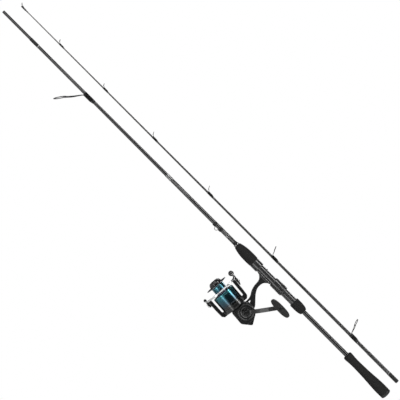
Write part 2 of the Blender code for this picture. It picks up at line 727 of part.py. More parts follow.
# ---- drive and handle --------------------------------------------------------------------------------------
def build_drive(reel):
    axis = empty("drive_axis", (DRIVE_U, 0.0, DRIVE_W), parent=reel)
    teeth_top = -(PINION_TIP + GAP)
    web_top = teeth_top - 1.2
    shaft = turned([(24.0, 0.0), (24.0, DRIVE_SHAFT_RADIUS), (web_top, DRIVE_SHAFT_RADIUS),
                    (web_top, DRIVE_GEAR_RADIUS + 0.3), (web_top - 3.2, DRIVE_GEAR_RADIUS + 0.3), (web_top - 3.2, 5.0),
                    (POD_BACK_Y + POD_WALL + 1.0, 5.0), (POD_BACK_Y + POD_WALL + 1.0, DRIVE_SHAFT_RADIUS),
                    (POD_BACK_Y + 0.5, DRIVE_SHAFT_RADIUS), (POD_BACK_Y + 0.5, 0.0)], rotation=ALONG_Y)
    face_teeth = plate(toothed(DRIVE_TEETH, DRIVE_GEAR_RADIUS - 3.5, DRIVE_GEAR_RADIUS), 1.6,
                       location=(0.0, teeth_top - 0.8, 0.0))
    small = plate(toothed(OSC_TEETH, OSC_RADIUS - 1.6, OSC_RADIUS), OSC_WIDTH,
                  location=(0.0, OSC_Y + OSC_WIDTH / 2, 0.0))
    join(shaft, face_teeth, small)
    finish(shaft, "drive_gear", "gear_brass", axis)

    hub_start = COVER_Y + COVER_THICKNESS + 1.8 + 0.5
    arm_base = ARM_ROOT_Y - ARM_THICKNESS / 2
    hub = turned([(arm_base - GAP, 0.0), (arm_base - GAP, 6.6), (arm_base - 1.2, 7.4), (hub_start + 3.0, 7.4),
                  (hub_start, 8.6), (hub_start, DRIVE_SHAFT_RADIUS + GAP), (24.0 + GAP, DRIVE_SHAFT_RADIUS + GAP),
                  (24.0 + GAP, 0.0)], rotation=ALONG_Y)
    finish(hub, "handle_hub", "rotor_paint", axis)
    cap_base = ARM_ROOT_Y + ARM_THICKNESS / 2 + GAP
    screw = turned([(cap_base + 1.6, 0.0), (cap_base + 1.6, 3.4), (cap_base + 0.9, 4.0), (cap_base, 4.0),
                    (cap_base, 0.0)], rotation=ALONG_Y, steps=16)
    finish(screw, "handle_screw", "bright_steel", axis)

    path = smooth_path([(-6.5, ARM_ROOT_Y), (6.0, ARM_ROOT_Y), (13.0, ARM_ROOT_Y + 2.6),
                        (22.0, ARM_ROOT_Y + 9.4), (46.0, ARM_TIP_Y - 4.6), (HANDLE_LENGTH, ARM_TIP_Y),
                        (HANDLE_LENGTH + 5.5, ARM_TIP_Y + 0.5)], 3)
    turn = radians(-HANDLE_ANGLE)
    arm = bevelled(plate(ribbon(path, ARM_THICKNESS), ARM_WIDTH, rotation=(0.0, turn, 0.0)), 1.3)
    knob_u = HANDLE_LENGTH * cos(radians(HANDLE_ANGLE))
    knob_w = HANDLE_LENGTH * sin(radians(HANDLE_ANGLE))
    post_end = KNOB_START_Y + KNOB_DEPTH - 3.8
    join(arm, rod(post_end, ARM_TIP_Y, KNOB_POST_RADIUS, rotation=ALONG_Y, location=(knob_u, 0.0, knob_w), steps=16))
    finish(arm, "handle_arm", "rotor_paint", axis)
    build_knob(axis, knob_u, knob_w, post_end)
    build_oscillation(reel)


def build_knob(drive_axis, knob_u, knob_w, post_end):
    level = (0.0, radians(REEL_TILT), 0.0)
    axis = empty("knob_axis", (knob_u, 0.0, knob_w), level, drive_axis)
    paddle_start = KNOB_START_Y + 4.0
    end = KNOB_START_Y + KNOB_DEPTH
    paddle = plate(oval(KNOB_LENGTH, KNOB_HEIGHT), end - paddle_start, location=(0.0, (paddle_start + end) / 2, 0.0))
    knob = bevelled(paddle, 3.2, 3)
    collar = turned([(paddle_start + 3.0, 0.0), (paddle_start + 3.0, 6.0), (KNOB_START_Y, 4.6), (KNOB_START_Y, 0.0)],
                    rotation=ALONG_Y)
    bore = rod(end + 1.0, KNOB_START_Y - 1.0, KNOB_POST_RADIUS + GAP, rotation=ALONG_Y, steps=16)
    recess = rod(end + 1.0, post_end + GAP, 4.6, rotation=ALONG_Y)
    join(knob, collar)
    cut(knob, bore, recess)
    finish(knob, "handle_knob", "knob_rubber", axis)
    cap = rod(end, post_end + 2 * GAP, 4.3, rotation=ALONG_Y)
    finish(cap, "knob_cap", "bright_steel", axis)


def build_oscillation(reel):
    osc_u, osc_w = osc_centre()
    axis = empty("oscillation_axis", (osc_u, 0.0, osc_w), parent=reel)
    gear = plate(toothed(OSC_TEETH, OSC_RADIUS - 1.6, OSC_RADIUS), OSC_WIDTH,
                 location=(0.0, OSC_Y + OSC_WIDTH / 2, 0.0))
    cut(gear, rod(OSC_Y + OSC_WIDTH + 1.0, OSC_Y - 1.0, 1.5 + GAP, rotation=ALONG_Y, steps=16))
    finish(gear, "oscillation_gear", "gear_brass", axis)


# ---- spool side --------------------------------------------------------------------------------------------
def build_shaft_and_spool(reel):
    axis = empty("spool_axis", (0.0, 0.0, 0.0), parent=reel)
    finish(rod(SHAFT_FRONT, SHAFT_REAR, SHAFT_RADIUS), "main_shaft", "bright_steel", axis)
    bore = SHAFT_RADIUS + GAP
    slider = tube(-29.0, -37.0, 4.6, bore)
    finish(slider, "oscillation_slider", "gear_brass", axis)

    inside = SKIRT_RADIUS - SKIRT_WALL
    spool = turned([(LIP_U + 0.5, DRAG_POCKET_RADIUS), (LIP_U + 0.5, LIP_RADIUS - 4.0), (LIP_U, LIP_RADIUS),
                    (LIP_U - 1.2, LIP_RADIUS), (LIP_U - 2.6, ARBOR_RADIUS + 1.0), (LIP_U - 3.6, ARBOR_RADIUS),
                    (SKIRT_FRONT + 1.2, ARBOR_RADIUS), (SKIRT_FRONT, SKIRT_RADIUS - 1.2),
                    (SKIRT_FRONT - 1.2, SKIRT_RADIUS), (SKIRT_REAR, SKIRT_RADIUS), (SKIRT_REAR, inside),
                    (SKIRT_FRONT - 3.0, inside), (SKIRT_FRONT - 3.0, 6.0), (SKIRT_FRONT - 8.0, 6.0),
                    (SKIRT_FRONT - 8.0, bore), (DRAG_POCKET_U, bore), (DRAG_POCKET_U, DRAG_POCKET_RADIUS)], steps=28)
    finish(spool, "spool", "spool_anodised", axis)
    knob_rear = LIP_U + 0.5 + GAP
    stub = knob_rear - 2.6
    radius = DRAG_POCKET_RADIUS - GAP
    washers = []
    for i in range(3):
        front = stub - GAP - 2.4 * i
        washers += [(front, radius), (front - 1.6, radius), (front - 1.6, radius - 1.2), (front - 2.4, radius - 1.2)]
    washers += [(washers[-1][0], bore), (stub - GAP, bore)]
    finish(turned(washers, steps=16), "drag_washers", "bright_steel", axis)
    nose = KNOB_NOSE_U
    outer = DRAG_KNOB_RADIUS
    knob = turned([(nose, 0.0), (nose, 7.0), (nose - 0.7, 10.4), (nose - 3.0, outer - 1.5), (nose - 5.5, outer - 0.3),
                   (knob_rear, outer), (knob_rear, radius), (stub, radius), (stub, bore),
                   (SHAFT_FRONT + GAP, bore), (SHAFT_FRONT + GAP, 0.0)])
    finish(knob, "drag_knob", "rotor_paint", axis)


# ---- rotor and bail ----------------------------------------------------------------------------------------
def rotor_arm(side):
    shoulder = SKIRT_REAR - 0.3
    outline = [(ROTOR_REAR, 18.0), (shoulder, 18.0), (shoulder, ARM_INNER - 1.5), (shoulder + 1.5, ARM_INNER),
               (ARM_END_U, ARM_INNER + 0.8), (ARM_END_U, ARM_OUTER), (20.0, ARM_OUTER - 0.6),
               (3.0, ARM_OUTER - 1.6), (ROTOR_REAR, ARM_INNER + 1.5)]
    outline = [(u, side * w) for u, w in outline]
    if side < 0:
        outline = outline[::-1]
    arm = bevelled(plate(rounded(outline, 1.6), 2 * ARM_HALF_WIDTH), 1.6)
    turn = UPRIGHT if side > 0 else UPSIDE_DOWN
    hole = rod(ARM_OUTER + 2.0, ARM_INNER - 2.0, PIVOT_SCREW_RADIUS + GAP, rotation=turn,
               location=(BAIL_PIVOT_U, 0.0, 0.0), steps=16)
    return arm, hole


def build_rotor(reel):
    axis = empty("rotor_axis", (0.0, 0.0, 0.0), parent=reel)
    bore = PINION_TUBE + GAP
    recess = BOSS_RADIUS + GAP
    shoulder = SKIRT_REAR - 0.3
    web = ROTOR_REAR + 6.0
    cup = turned([(ROTOR_CUP_FRONT, ROTOR_CUP_RADIUS), (shoulder, ROTOR_CUP_RADIUS), (shoulder, ROTOR_RADIUS),
                  (ROTOR_REAR + 2.0, ROTOR_RADIUS), (ROTOR_REAR, ROTOR_RADIUS - 2.0), (ROTOR_REAR, recess),
                  (web, recess), (web, bore), (web + 9.0, bore), (web + 9.0, 8.5), (web + 3.5, 9.0),
                  (web + 3.5, 20.0), (web + 4.5, ROTOR_CUP_RADIUS - 1.2), (ROTOR_CUP_FRONT, ROTOR_CUP_RADIUS - 1.2)],
                 steps=28)
    for side in (1, -1):
        arm, pivot = rotor_arm(side)
        join(cup, arm)
        cut(cup, pivot)
    finish(cup, "rotor", "rotor_paint", axis)

    teeth_rear = DRIVE_U + DRIVE_GEAR_RADIUS / 2
    teeth_front = POD_CORNERS[0][0] - POD_WALL - 0.6
    pinion = plate(toothed(PINION_TEETH, PINION_TIP - 1.1, PINION_TIP), teeth_front - teeth_rear,
                   rotation=(pi / 2, 0.0, pi / 2), location=((teeth_front + teeth_rear) / 2, 0.0, 0.0))
    nut_front = web + 9.0 + GAP + 2.8
    shoulder_radius = PINION_TIP + GAP / 2
    sleeve = turned([(nut_front, 0.0), (nut_front, PINION_TUBE), (teeth_front + 0.3, PINION_TUBE),
                     (teeth_front + 0.3, shoulder_radius), (teeth_front - 0.5, shoulder_radius),
                     (teeth_front - 0.5, 0.0)])
    combine(pinion, sleeve, "UNION", "MANIFOLD")
    cut(pinion, rod(nut_front + 1.0, teeth_rear - 1.0, SHAFT_RADIUS + GAP))
    finish(pinion, "pinion_gear", "gear_brass", axis)
    nut = plate([(7.6 * cos(i * pi / 3), 7.6 * sin(i * pi / 3)) for i in range(6)], 2.8,
                rotation=(pi / 2, 0.0, pi / 2), location=(nut_front - 1.4, 0.0, 0.0))
    cut(nut, rod(nut_front + 1.0, web + 5.0, bore))
    finish(nut, "rotor_nut", "bright_steel", axis)
    for name, side in (("pivot_screw_upper", 1), ("pivot_screw_lower", -1)):
        head = ARM_OUTER + GAP + BAIL_LEVER_THICKNESS + GAP
        profile = [(head + 1.6, 0.0), (head + 1.6, 3.0), (head + 0.9, 3.8), (head, 3.8), (head, PIVOT_SCREW_RADIUS),
                   (ARM_INNER + 2.0, PIVOT_SCREW_RADIUS), (ARM_INNER + 2.0, 0.0)]
        turn = UPRIGHT if side > 0 else UPSIDE_DOWN
        screw = turned(profile, rotation=turn, location=(BAIL_PIVOT_U, 0.0, 0.0), steps=16)
        finish(screw, name, "bright_steel", axis)
    build_bail(axis)


def build_bail(rotor_axis):
    axis = empty("bail_axis", (BAIL_PIVOT_U, 0.0, 0.0), parent=rotor_axis)
    base = ARM_OUTER + GAP
    top = base + BAIL_LEVER_THICKNESS
    roller_u = ROLLER_U - BAIL_PIVOT_U
    holder_u = HOLDER_U - BAIL_PIVOT_U
    lever_y = (-5.0, 1.6)
    outline = [(-10.5, base), (7.0, base), (13.0, base + 0.6), (roller_u + 2.0, ROLLER_W - 2.2),
               (roller_u + 4.2, ROLLER_W), (roller_u + 2.0, ROLLER_W + 3.2), (12.0, top + 0.8), (5.0, top),
               (-5.0, top), (-10.5, base + 1.8)]
    arm = bevelled(plate(rounded(outline, 1.5), lever_y[1] - lever_y[0],
                         location=(0.0, sum(lever_y) / 2, 0.0)), 0.9)
    pin = rod(6.2, lever_y[1] - 1.0, 1.5, rotation=ALONG_Y, location=(roller_u, 0.0, ROLLER_W), steps=16)
    hub = rod(top - 0.2, base + 0.2, 4.6, rotation=UPRIGHT)
    hole = rod(top + 2.0, base - 2.0, PIVOT_SCREW_RADIUS + GAP, rotation=UPRIGHT, steps=16)
    join(arm, pin, hub)
    cut(arm, hole)
    finish(arm, "bail_arm", "rotor_paint", axis)

    start = lever_y[1] + GAP
    roller = turned([(6.1, ROLLER_RADIUS - 0.3), (5.0, ROLLER_RADIUS), (start + 2.1, ROLLER_RADIUS - 1.0),
                     (start + 1.1, ROLLER_RADIUS), (start, ROLLER_RADIUS - 0.3), (start, 1.5 + GAP), (6.1, 1.5 + GAP)],
                    rotation=ALONG_Y, location=(roller_u, 0.0, ROLLER_W))
    finish(roller, "line_roller", "bright_steel", axis)

    ball_y = 6.2 + GAP + BAIL_BALL_RADIUS
    cone = ball((roller_u, ball_y, ROLLER_W), BAIL_BALL_RADIUS)
    path = smooth_path([(roller_u - 0.5, ball_y + 3.0, ROLLER_W), (roller_u - 4.5, ball_y + 8.6, ROLLER_W + 1.0),
                        (11.4, BAIL_BOW - 17.5, ROLLER_W - 1.8), (9.8, BAIL_BOW - 8.5, ROLLER_W - 10.3),
                        (9.2, BAIL_BOW - 2.0, 15.0), (9.0, BAIL_BOW, 0.0), (9.0, BAIL_BOW - 2.2, -14.0),
                        (9.2, BAIL_BOW - 8.0, 12.8 - ROLLER_W), (9.8, BAIL_BOW - 17.0, 4.2 - ROLLER_W),
                        (11.2, BAIL_BOW - 29.0, 0.2 - ROLLER_W),
                        (holder_u, 6.4, -ROLLER_W)], 3)
    bail = wire(path, BAIL_WIRE_RADIUS)
    join(bail, cone)
    finish(bail, "bail_wire", "bright_steel", axis)

    outline = [(-5.5, -base), (-5.5, -top + 0.8), (6.0, -top), (holder_u + 2.2, -ROLLER_W - 1.8),
               (holder_u + 2.2, -ROLLER_W + 1.8), (7.0, -base)]
    holder = bevelled(plate(rounded(outline, 1.2), 7.6, location=(0.0, 1.2, 0.0)), 0.9)
    hub = rod(-base - 0.2, -top + 0.2, 4.6, rotation=UPRIGHT)
    hole = rod(-base + 2.0, -top - 2.0, PIVOT_SCREW_RADIUS + GAP, rotation=UPRIGHT, steps=16)
    socket = rod(9.0, 4.4, BAIL_WIRE_RADIUS + 1.6, rotation=ALONG_Y, location=(holder_u, 0.0, -ROLLER_W), steps=16)
    socket_bore = rod(10.0, 6.4 - GAP, BAIL_WIRE_RADIUS + 2 * GAP, rotation=ALONG_Y,
                      location=(holder_u, 0.0, -ROLLER_W), steps=16)
    join(holder, hub, socket)
    cut(holder, hole, socket_bore)
    finish(holder, "bail_holder", "rotor_paint", axis)


def build():
    build_butt_blank()
    build_grips()
    build_seat()
    build_clamp()
    build_hook_keeper()
    build_guide("stripper", 509.0, 533.0, 563.0, 43.0, 28.0, 34.0, 0.9, 0.0, -1, BLANK_STATIONS, None)
    build_tip_section()
    reel = empty("reel_frame", (0.0, 0.0, -REEL_DROP), (0.0, radians(-REEL_TILT), 0.0))
    build_reel_body(reel)
    build_covers(reel)
    build_pinion_supports(reel)
    build_drive(reel)
    build_shaft_and_spool(reel)
    build_rotor(reel)


clear_scene()
PARTS = collection("fishing_rod_and_reel")
CUTTERS = collection("cutters")
build()
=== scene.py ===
# %% [markdown]
# # The looks of a two-piece spinning rod and its reel
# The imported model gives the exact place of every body. This lesson dresses it: foam grips, a lacquered
# blank, thread windings, a cast reel, an anodised spool and a soft studio round them. Sizes are in
# millimetres in the lists below and become metres where a mesh is made.

# %% Load the frame
from math import cos, pi, radians, sin

import bmesh
import bpy
from mathutils import Matrix, Vector


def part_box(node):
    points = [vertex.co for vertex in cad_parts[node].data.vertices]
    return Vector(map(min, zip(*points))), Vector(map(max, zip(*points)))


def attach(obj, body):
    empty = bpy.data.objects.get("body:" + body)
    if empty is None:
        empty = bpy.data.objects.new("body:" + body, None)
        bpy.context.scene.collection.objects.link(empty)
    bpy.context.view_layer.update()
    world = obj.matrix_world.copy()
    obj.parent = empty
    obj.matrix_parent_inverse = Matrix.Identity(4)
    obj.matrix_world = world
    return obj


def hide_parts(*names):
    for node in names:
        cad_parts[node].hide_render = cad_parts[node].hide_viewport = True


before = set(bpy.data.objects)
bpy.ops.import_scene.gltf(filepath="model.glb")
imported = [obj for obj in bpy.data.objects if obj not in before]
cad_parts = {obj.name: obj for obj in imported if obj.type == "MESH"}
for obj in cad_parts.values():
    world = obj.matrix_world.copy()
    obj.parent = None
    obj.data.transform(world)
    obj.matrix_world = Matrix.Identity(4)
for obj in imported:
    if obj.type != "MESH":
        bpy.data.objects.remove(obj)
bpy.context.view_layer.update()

# %% [markdown]
# The rod runs along +X and the reel hangs from it with its nose four degrees up. Writing the reel's own
# axes as one matrix lets every reel piece be drawn level and then laid in its true place.

# %% Places and axes
MM = 0.001
HERE = Matrix.Identity(4)
REEL = Matrix.Translation((0.0, 0.0, -92.5 * MM)) @ Matrix.Rotation(radians(-4.0), 4, "Y")
ALONG_X = Matrix.Rotation(pi / 2, 4, "Y")
ALONG_Y = Matrix.Rotation(-pi / 2, 4, "X")
TIP_AXIS = 34.6


def at(x, y, z):
    return Matrix.Translation((x * MM, y * MM, z * MM))


REEL_AXIS = REEL @ ALONG_X
DRIVE_AXIS = REEL @ at(-21.3, 0.0, 10.0) @ ALONG_Y
print("reel axis points along", tuple(round(v, 4) for v in REEL_AXIS.col[2][:3]))

# %% [markdown]
# Most of a rod is turned: grips, checks, spool and knobs are bodies of revolution. One small lathe serves
# them all. It takes a half profile, spins it, and keeps the poles single so that the solid is closed.

# %% A small lathe
def turned(profile, place=ALONG_X, segments=96):
    """Spin (station, radius) points round the local Z axis; a profile off the axis closes into a ring."""
    shape = bmesh.new()
    rings = []
    for station, radius in profile:
        ring = []
        for i in range(segments if radius > 0.0 else 1):
            angle = 2.0 * pi * i / segments
            ring.append(shape.verts.new((radius * cos(angle) * MM, radius * sin(angle) * MM, station * MM)))
        rings.append(ring)
    pairs = list(zip(rings, rings[1:]))
    if profile[0][1] > 0.0:
        pairs.append((rings[-1], rings[0]))
    for one, two in pairs:
        for i in range(segments):
            corners = [one[i % len(one)], one[(i + 1) % len(one)], two[(i + 1) % len(two)], two[i % len(two)]]
            corners = list(dict.fromkeys(corners))
            if len(corners) > 2:
                shape.faces.new(corners)
    bmesh.ops.transform(shape, matrix=place, verts=shape.verts)
    bmesh.ops.recalc_face_normals(shape, faces=shape.faces)
    return shape


def softened(profile, reach, pieces=4):
    """Round the corners of an open profile."""
    made = [tuple(profile[0])]
    for before, middle, after in zip(profile, profile[1:], profile[2:]):
        here = Vector(middle)
        back = Vector(before) - here
        ahead = Vector(after) - here
        cut = min(reach, 0.45 * back.length, 0.45 * ahead.length)
        start = here + back.normalized() * cut
        end = here + ahead.normalized() * cut
        for k in range(pieces + 1):
            t = k / pieces
            made.append(tuple(start * (1 - t) ** 2 + here * 2 * t * (1 - t) + end * t ** 2))
    made.append(tuple(profile[-1]))
    return made


print("a softened right angle has", len(softened([(0, 0), (1, 0), (1, 1)], 0.4)), "points")

# %% [markdown]
# Wires, hoops and cast arms need three more tools: a tube swept along a path, an outline given a thickness,
# and a smooth curve through a few chosen points. A Catmull-Rom curve passes through its points, so the wire
# goes exactly where it is bent.

# %% Paths, wires and slabs
def smooth_path(points, pieces=8):
    path = [Vector(p) for p in points]
    ends = [2 * path[0] - path[1]] + path + [2 * path[-1] - path[-2]]
    made = []
    for a, b, c, d in zip(ends, ends[1:], ends[2:], ends[3:]):
        for k in range(pieces):
            t = k / pieces
            place = 2 * b + (c - a) * t
            place += (2 * a - 5 * b + 4 * c - d) * t ** 2
            place += (3 * b - a - 3 * c + d) * t ** 3
            made.append(place / 2)
    made.append(path[-1])
    return made


def swept(path, radii, place=HERE, sides=12, loop=False):
    """A round tube along a path; radii is one radius or a pair, for its start and its end."""
    shape = bmesh.new()
    count = len(path)
    first, last = radii if isinstance(radii, tuple) else (radii, radii)
    normal = Vector((0.31, 0.83, 0.46))
    rings = []
    for i, here in enumerate(path):
        before = path[i - 1] if loop or i > 0 else here
        after = path[(i + 1) % count] if loop or i < count - 1 else here
        along = (after - before).normalized()
        normal = (normal - along * normal.dot(along)).normalized()
        side = along.cross(normal)
        radius = first + (last - first) * i / (count - 1)
        ring = []
        for k in range(sides):
            angle = 2.0 * pi * k / sides
            spot = here + (normal * cos(angle) + side * sin(angle)) * radius
            ring.append(shape.verts.new(spot * MM))
        rings.append(ring)
    pairs = list(zip(rings, rings[1:]))
    if loop:
        turn = min(range(sides), key=lambda k: (rings[0][k].co - rings[-1][0].co).length)
        pairs.append((rings[-1], rings[0][turn:] + rings[0][:turn]))
    for one, two in pairs:
        for k in range(sides):
            shape.faces.new((one[k], one[(k + 1) % sides], two[(k + 1) % sides], two[k]))
    if not loop:
        shape.faces.new(rings[0])
        shape.faces.new(rings[-1])
    bmesh.ops.transform(shape, matrix=place, verts=shape.verts)
    bmesh.ops.recalc_face_normals(shape, faces=shape.faces)
    return shape


def slab(outline, low, high, place=HERE):
    """An outline in X and Z with a thickness from low to high along Y."""
    shape = bmesh.new()
    near = [shape.verts.new((x * MM, low * MM, z * MM)) for x, z in outline]
    far = [shape.verts.new((x * MM, high * MM, z * MM)) for x, z in outline]
    shape.faces.new(near)
    shape.faces.new(far[::-1])
    for i in range(len(outline)):
        k = (i + 1) % len(outline)
        shape.faces.new((near[i], near[k], far[k], far[i]))
    bmesh.ops.transform(shape, matrix=place, verts=shape.verts)
    bmesh.ops.recalc_face_normals(shape, faces=shape.faces)
    return shape


def ball(centre, radius, place=HERE):
    profile = [(radius * cos(pi * i / 24),
                radius * sin(pi * i / 24) if 0 < i < 24 else 0.0) for i in range(25)]
    return turned(profile, place @ at(*centre), 48)


print("a bend through three points has", len(smooth_path([(0, 0, 0), (1, 0, 0), (1, 1, 0)])), "stations")

# %% [markdown]
# Every finished piece is a plain mesh at the origin that rides on one body of the frame, stands for the CAD
# nodes that it replaces, and takes one finish as its material.


def gathered(shapes, name):
    whole = bmesh.new()
    for shape in shapes:
        part = bpy.data.meshes.new("part")
        shape.to_mesh(part)
        shape.free()
        whole.from_mesh(part)
        bpy.data.meshes.remove(part)
    mesh = bpy.data.meshes.new(name)
    whole.to_mesh(mesh)
    whole.free()
    return mesh


def put(name, mesh, finish, body, *nodes, sharp=40.0):
    mesh.materials.clear()
    mesh.materials.append(finish)
    mesh.shade_smooth()
    mesh.set_sharp_from_angle(angle=radians(sharp))
    obj = bpy.data.objects.new(name, mesh)
    bpy.context.scene.collection.objects.link(obj)
    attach(obj, body)
    if nodes:
        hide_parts(*nodes)
    print(f"{name}: {len(mesh.polygons)} faces")
    return obj


def piece(name, shapes, finish, body, *nodes, sharp=40.0):
    return put(name, gathered(shapes, name), finish, body, *nodes, sharp=sharp)


# %% [markdown]
# The reel's shells are castings: their edges are soft because metal shrinks in the mould and paint rounds
# what is left. A voxel remesh fuses the drawn solids into one skin, and a few smoothing passes give that
# roundness.

# %% Casting
def evaluated_mesh(obj):
    bpy.context.view_layer.update()
    graph = bpy.context.evaluated_depsgraph_get()
    mesh = bpy.data.meshes.new_from_object(obj.evaluated_get(graph))
    bpy.data.objects.remove(obj)
    return mesh


def cast(shapes, voxel, passes):
    obj = bpy.data.objects.new("mould", gathered(shapes, "mould"))
    bpy.context.scene.collection.objects.link(obj)
    fuse = obj.modifiers.new("fuse", "REMESH")
    fuse.mode = "VOXEL"
    fuse.voxel_size = voxel * MM
    soften = obj.modifiers.new("soften", "SMOOTH")
    soften.factor = 0.5
    soften.iterations = passes
    return evaluated_mesh(obj)


def carved(shapes, tools):
    """Cut tools out of a solid, one after the other."""
    obj = bpy.data.objects.new("stock", gathered(shapes, "stock"))
    bpy.context.scene.collection.objects.link(obj)
    blades = []
    for tool in tools:
        blade = bpy.data.objects.new("blade", gathered([tool], "blade"))
        bpy.context.scene.collection.objects.link(blade)
        step = obj.modifiers.new("cut", "BOOLEAN")
        step.operation = "DIFFERENCE"
        step.solver = "EXACT"
        step.object = blade
        blades.append(blade)
    mesh = evaluated_mesh(obj)
    for blade in blades:
        bpy.data.objects.remove(blade)
    return mesh


def copied(node):
    """A welded copy of a CAD node's mesh."""
    shape = bmesh.new()
    shape.from_mesh(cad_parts[node].data)
    bmesh.ops.remove_doubles(shape, verts=shape.verts, dist=0.000001)
    return shape


# %% [markdown]
# ## Finishes
# Each finish is a small node tree on Object coordinates, in metres, so its grain has a real size. Three
# effects are shared as groups: fine grain for moulded and painted surfaces, lathe lines for turned metal,
# and scuffs.

# %% Node helpers
def feed(tree, socket, source):
    if isinstance(source, bpy.types.NodeSocket):
        tree.links.new(source, socket)
    else:
        socket.default_value = source


def calc(tree, operation, first, second=0.0):
    step = tree.nodes.new("ShaderNodeMath")
    step.operation = operation
    feed(tree, step.inputs[0], first)
    feed(tree, step.inputs[1], second)
    return step.outputs[0]


def noise(tree, vector, scale, detail=3.0):
    texture = tree.nodes.new("ShaderNodeTexNoise")
    feed(tree, texture.inputs["Vector"], vector)
    feed(tree, texture.inputs["Scale"], scale)
    texture.inputs["Detail"].default_value = detail
    return texture.outputs["Fac"]


def spread(tree, value, low, high, to_low=0.0, to_high=1.0):
    step = tree.nodes.new("ShaderNodeMapRange")
    feed(tree, step.inputs["Value"], value)
    step.inputs["From Min"].default_value = low
    step.inputs["From Max"].default_value = high
    feed(tree, step.inputs["To Min"], to_low)
    feed(tree, step.inputs["To Max"], to_high)
    return step.outputs["Result"]


def blend(tree, share, first, second):
    step = tree.nodes.new("ShaderNodeMix")
    step.data_type = "RGBA"
    feed(tree, step.inputs[0], share)
    feed(tree, step.inputs[6], first)
    feed(tree, step.inputs[7], second)
    return step.outputs[2]


def shader_group(name, inputs, outputs):
    tree = bpy.data.node_groups.new(name, "ShaderNodeTree")
    for label, kind in inputs:
        tree.interface.new_socket(name=label, in_out="INPUT", socket_type=kind)
    for label, kind in outputs:
        tree.interface.new_socket(name=label, in_out="OUTPUT", socket_type=kind)
    return tree, tree.nodes.new("NodeGroupInput").outputs, tree.nodes.new("NodeGroupOutput").inputs


# %% [markdown]
# No made surface is one flat tone. This group mixes a broad and a fine noise, read in the piece's own
# coordinates, so the grain stays on the piece when a joint moves it.

# %% Fine grain
GRAIN, taken, given = shader_group(
    "Fine grain",
    [("Vector", "NodeSocketVector"), ("Scale", "NodeSocketFloat"), ("Dark", "NodeSocketColor"),
     ("Light", "NodeSocketColor"), ("Smooth", "NodeSocketFloat"), ("Rough", "NodeSocketFloat")],
    [("Colour", "NodeSocketColor"), ("Roughness", "NodeSocketFloat"), ("Height", "NodeSocketFloat")])
broad = noise(GRAIN, taken["Vector"], taken["Scale"])
fine = noise(GRAIN, taken["Vector"], calc(GRAIN, "MULTIPLY", taken["Scale"], 11.0), 4.0)
mottle = calc(GRAIN, "ADD", calc(GRAIN, "MULTIPLY", broad, 0.6), calc(GRAIN, "MULTIPLY", fine, 0.4))
shade = spread(GRAIN, mottle, 0.35, 0.65)
feed(GRAIN, given["Colour"], blend(GRAIN, shade, taken["Dark"], taken["Light"]))
feed(GRAIN, given["Roughness"], spread(GRAIN, mottle, 0.35, 0.65, taken["Smooth"], taken["Rough"]))
feed(GRAIN, given["Height"], fine)
print("group made:", GRAIN.name)

# %% [markdown]
# A lathe tool leaves rings that all share the axis. Noise read from only two numbers, the distance along
# the axis and the distance from it, is the same all the way round, which is exactly what such rings are.

# %% Lathe lines
LATHE, taken, given = shader_group(
    "Lathe lines",
    [("Vector", "NodeSocketVector"), ("Scale", "NodeSocketFloat"), ("Smooth", "NodeSocketFloat"),
     ("Rough", "NodeSocketFloat")],
    [("Share", "NodeSocketFloat"), ("Roughness", "NodeSocketFloat"), ("Height", "NodeSocketFloat")])
split = LATHE.nodes.new("ShaderNodeSeparateXYZ")
feed(LATHE, split.inputs[0], taken["Vector"])
around = calc(LATHE, "ADD", calc(LATHE, "MULTIPLY", split.outputs["Y"], split.outputs["Y"]),
              calc(LATHE, "MULTIPLY", split.outputs["Z"], split.outputs["Z"]))
pair = LATHE.nodes.new("ShaderNodeCombineXYZ")
feed(LATHE, pair.inputs["X"], split.outputs["X"])
feed(LATHE, pair.inputs["Y"], calc(LATHE, "SQRT", around))
lines = noise(LATHE, pair.outputs[0], taken["Scale"], 5.0)
feed(LATHE, given["Share"], lines)
feed(LATHE, given["Roughness"], spread(LATHE, lines, 0.3, 0.7, taken["Smooth"], taken["Rough"]))
feed(LATHE, given["Height"], lines)
print("group made:", LATHE.name)

# %% [markdown]
# Handling wears paint in patches, and inside each patch as fine marks. Multiplying a broad mask by a fine
# one gives both, and one amount per finish keeps glossy parts cleaner than grips.

# %% Scuffs
SCUFFS, taken, given = shader_group(
    "Scuffs",
    [("Vector", "NodeSocketVector"), ("Colour", "NodeSocketColor"), ("Worn", "NodeSocketColor"),
     ("Roughness", "NodeSocketFloat"), ("Amount", "NodeSocketFloat")],
    [("Colour", "NodeSocketColor"), ("Roughness", "NodeSocketFloat")])
patches = spread(SCUFFS, noise(SCUFFS, taken["Vector"], 90.0, 2.0), 0.52, 0.72)
scratches = spread(SCUFFS, noise(SCUFFS, taken["Vector"], 2600.0, 2.0), 0.55, 0.75)
worn = calc(SCUFFS, "MULTIPLY", calc(SCUFFS, "MULTIPLY", patches, scratches), taken["Amount"])
feed(SCUFFS, given["Colour"], blend(SCUFFS, worn, taken["Colour"], taken["Worn"]))
feed(SCUFFS, given["Roughness"],
     calc(SCUFFS, "ADD", taken["Roughness"], calc(SCUFFS, "MULTIPLY", worn, 0.25)))
print("group made:", SCUFFS.name)

# %% [markdown]
# A finish starts the same way each time: a Principled BSDF, Object coordinates, grain for colour and
# roughness, scuffs over it, and a bump whose distance is the real depth of the texture. The lacquer is the
# coat.

# %% Making a finish
def grey(value, tint=(1.0, 1.0, 1.0)):
    return (value * tint[0], value * tint[1], value * tint[2], 1.0)


def use(tree, group, **values):
    step = tree.nodes.new("ShaderNodeGroup")
    step.node_tree = group
    for label, source in values.items():
        feed(tree, step.inputs[label], source)
    return step.outputs


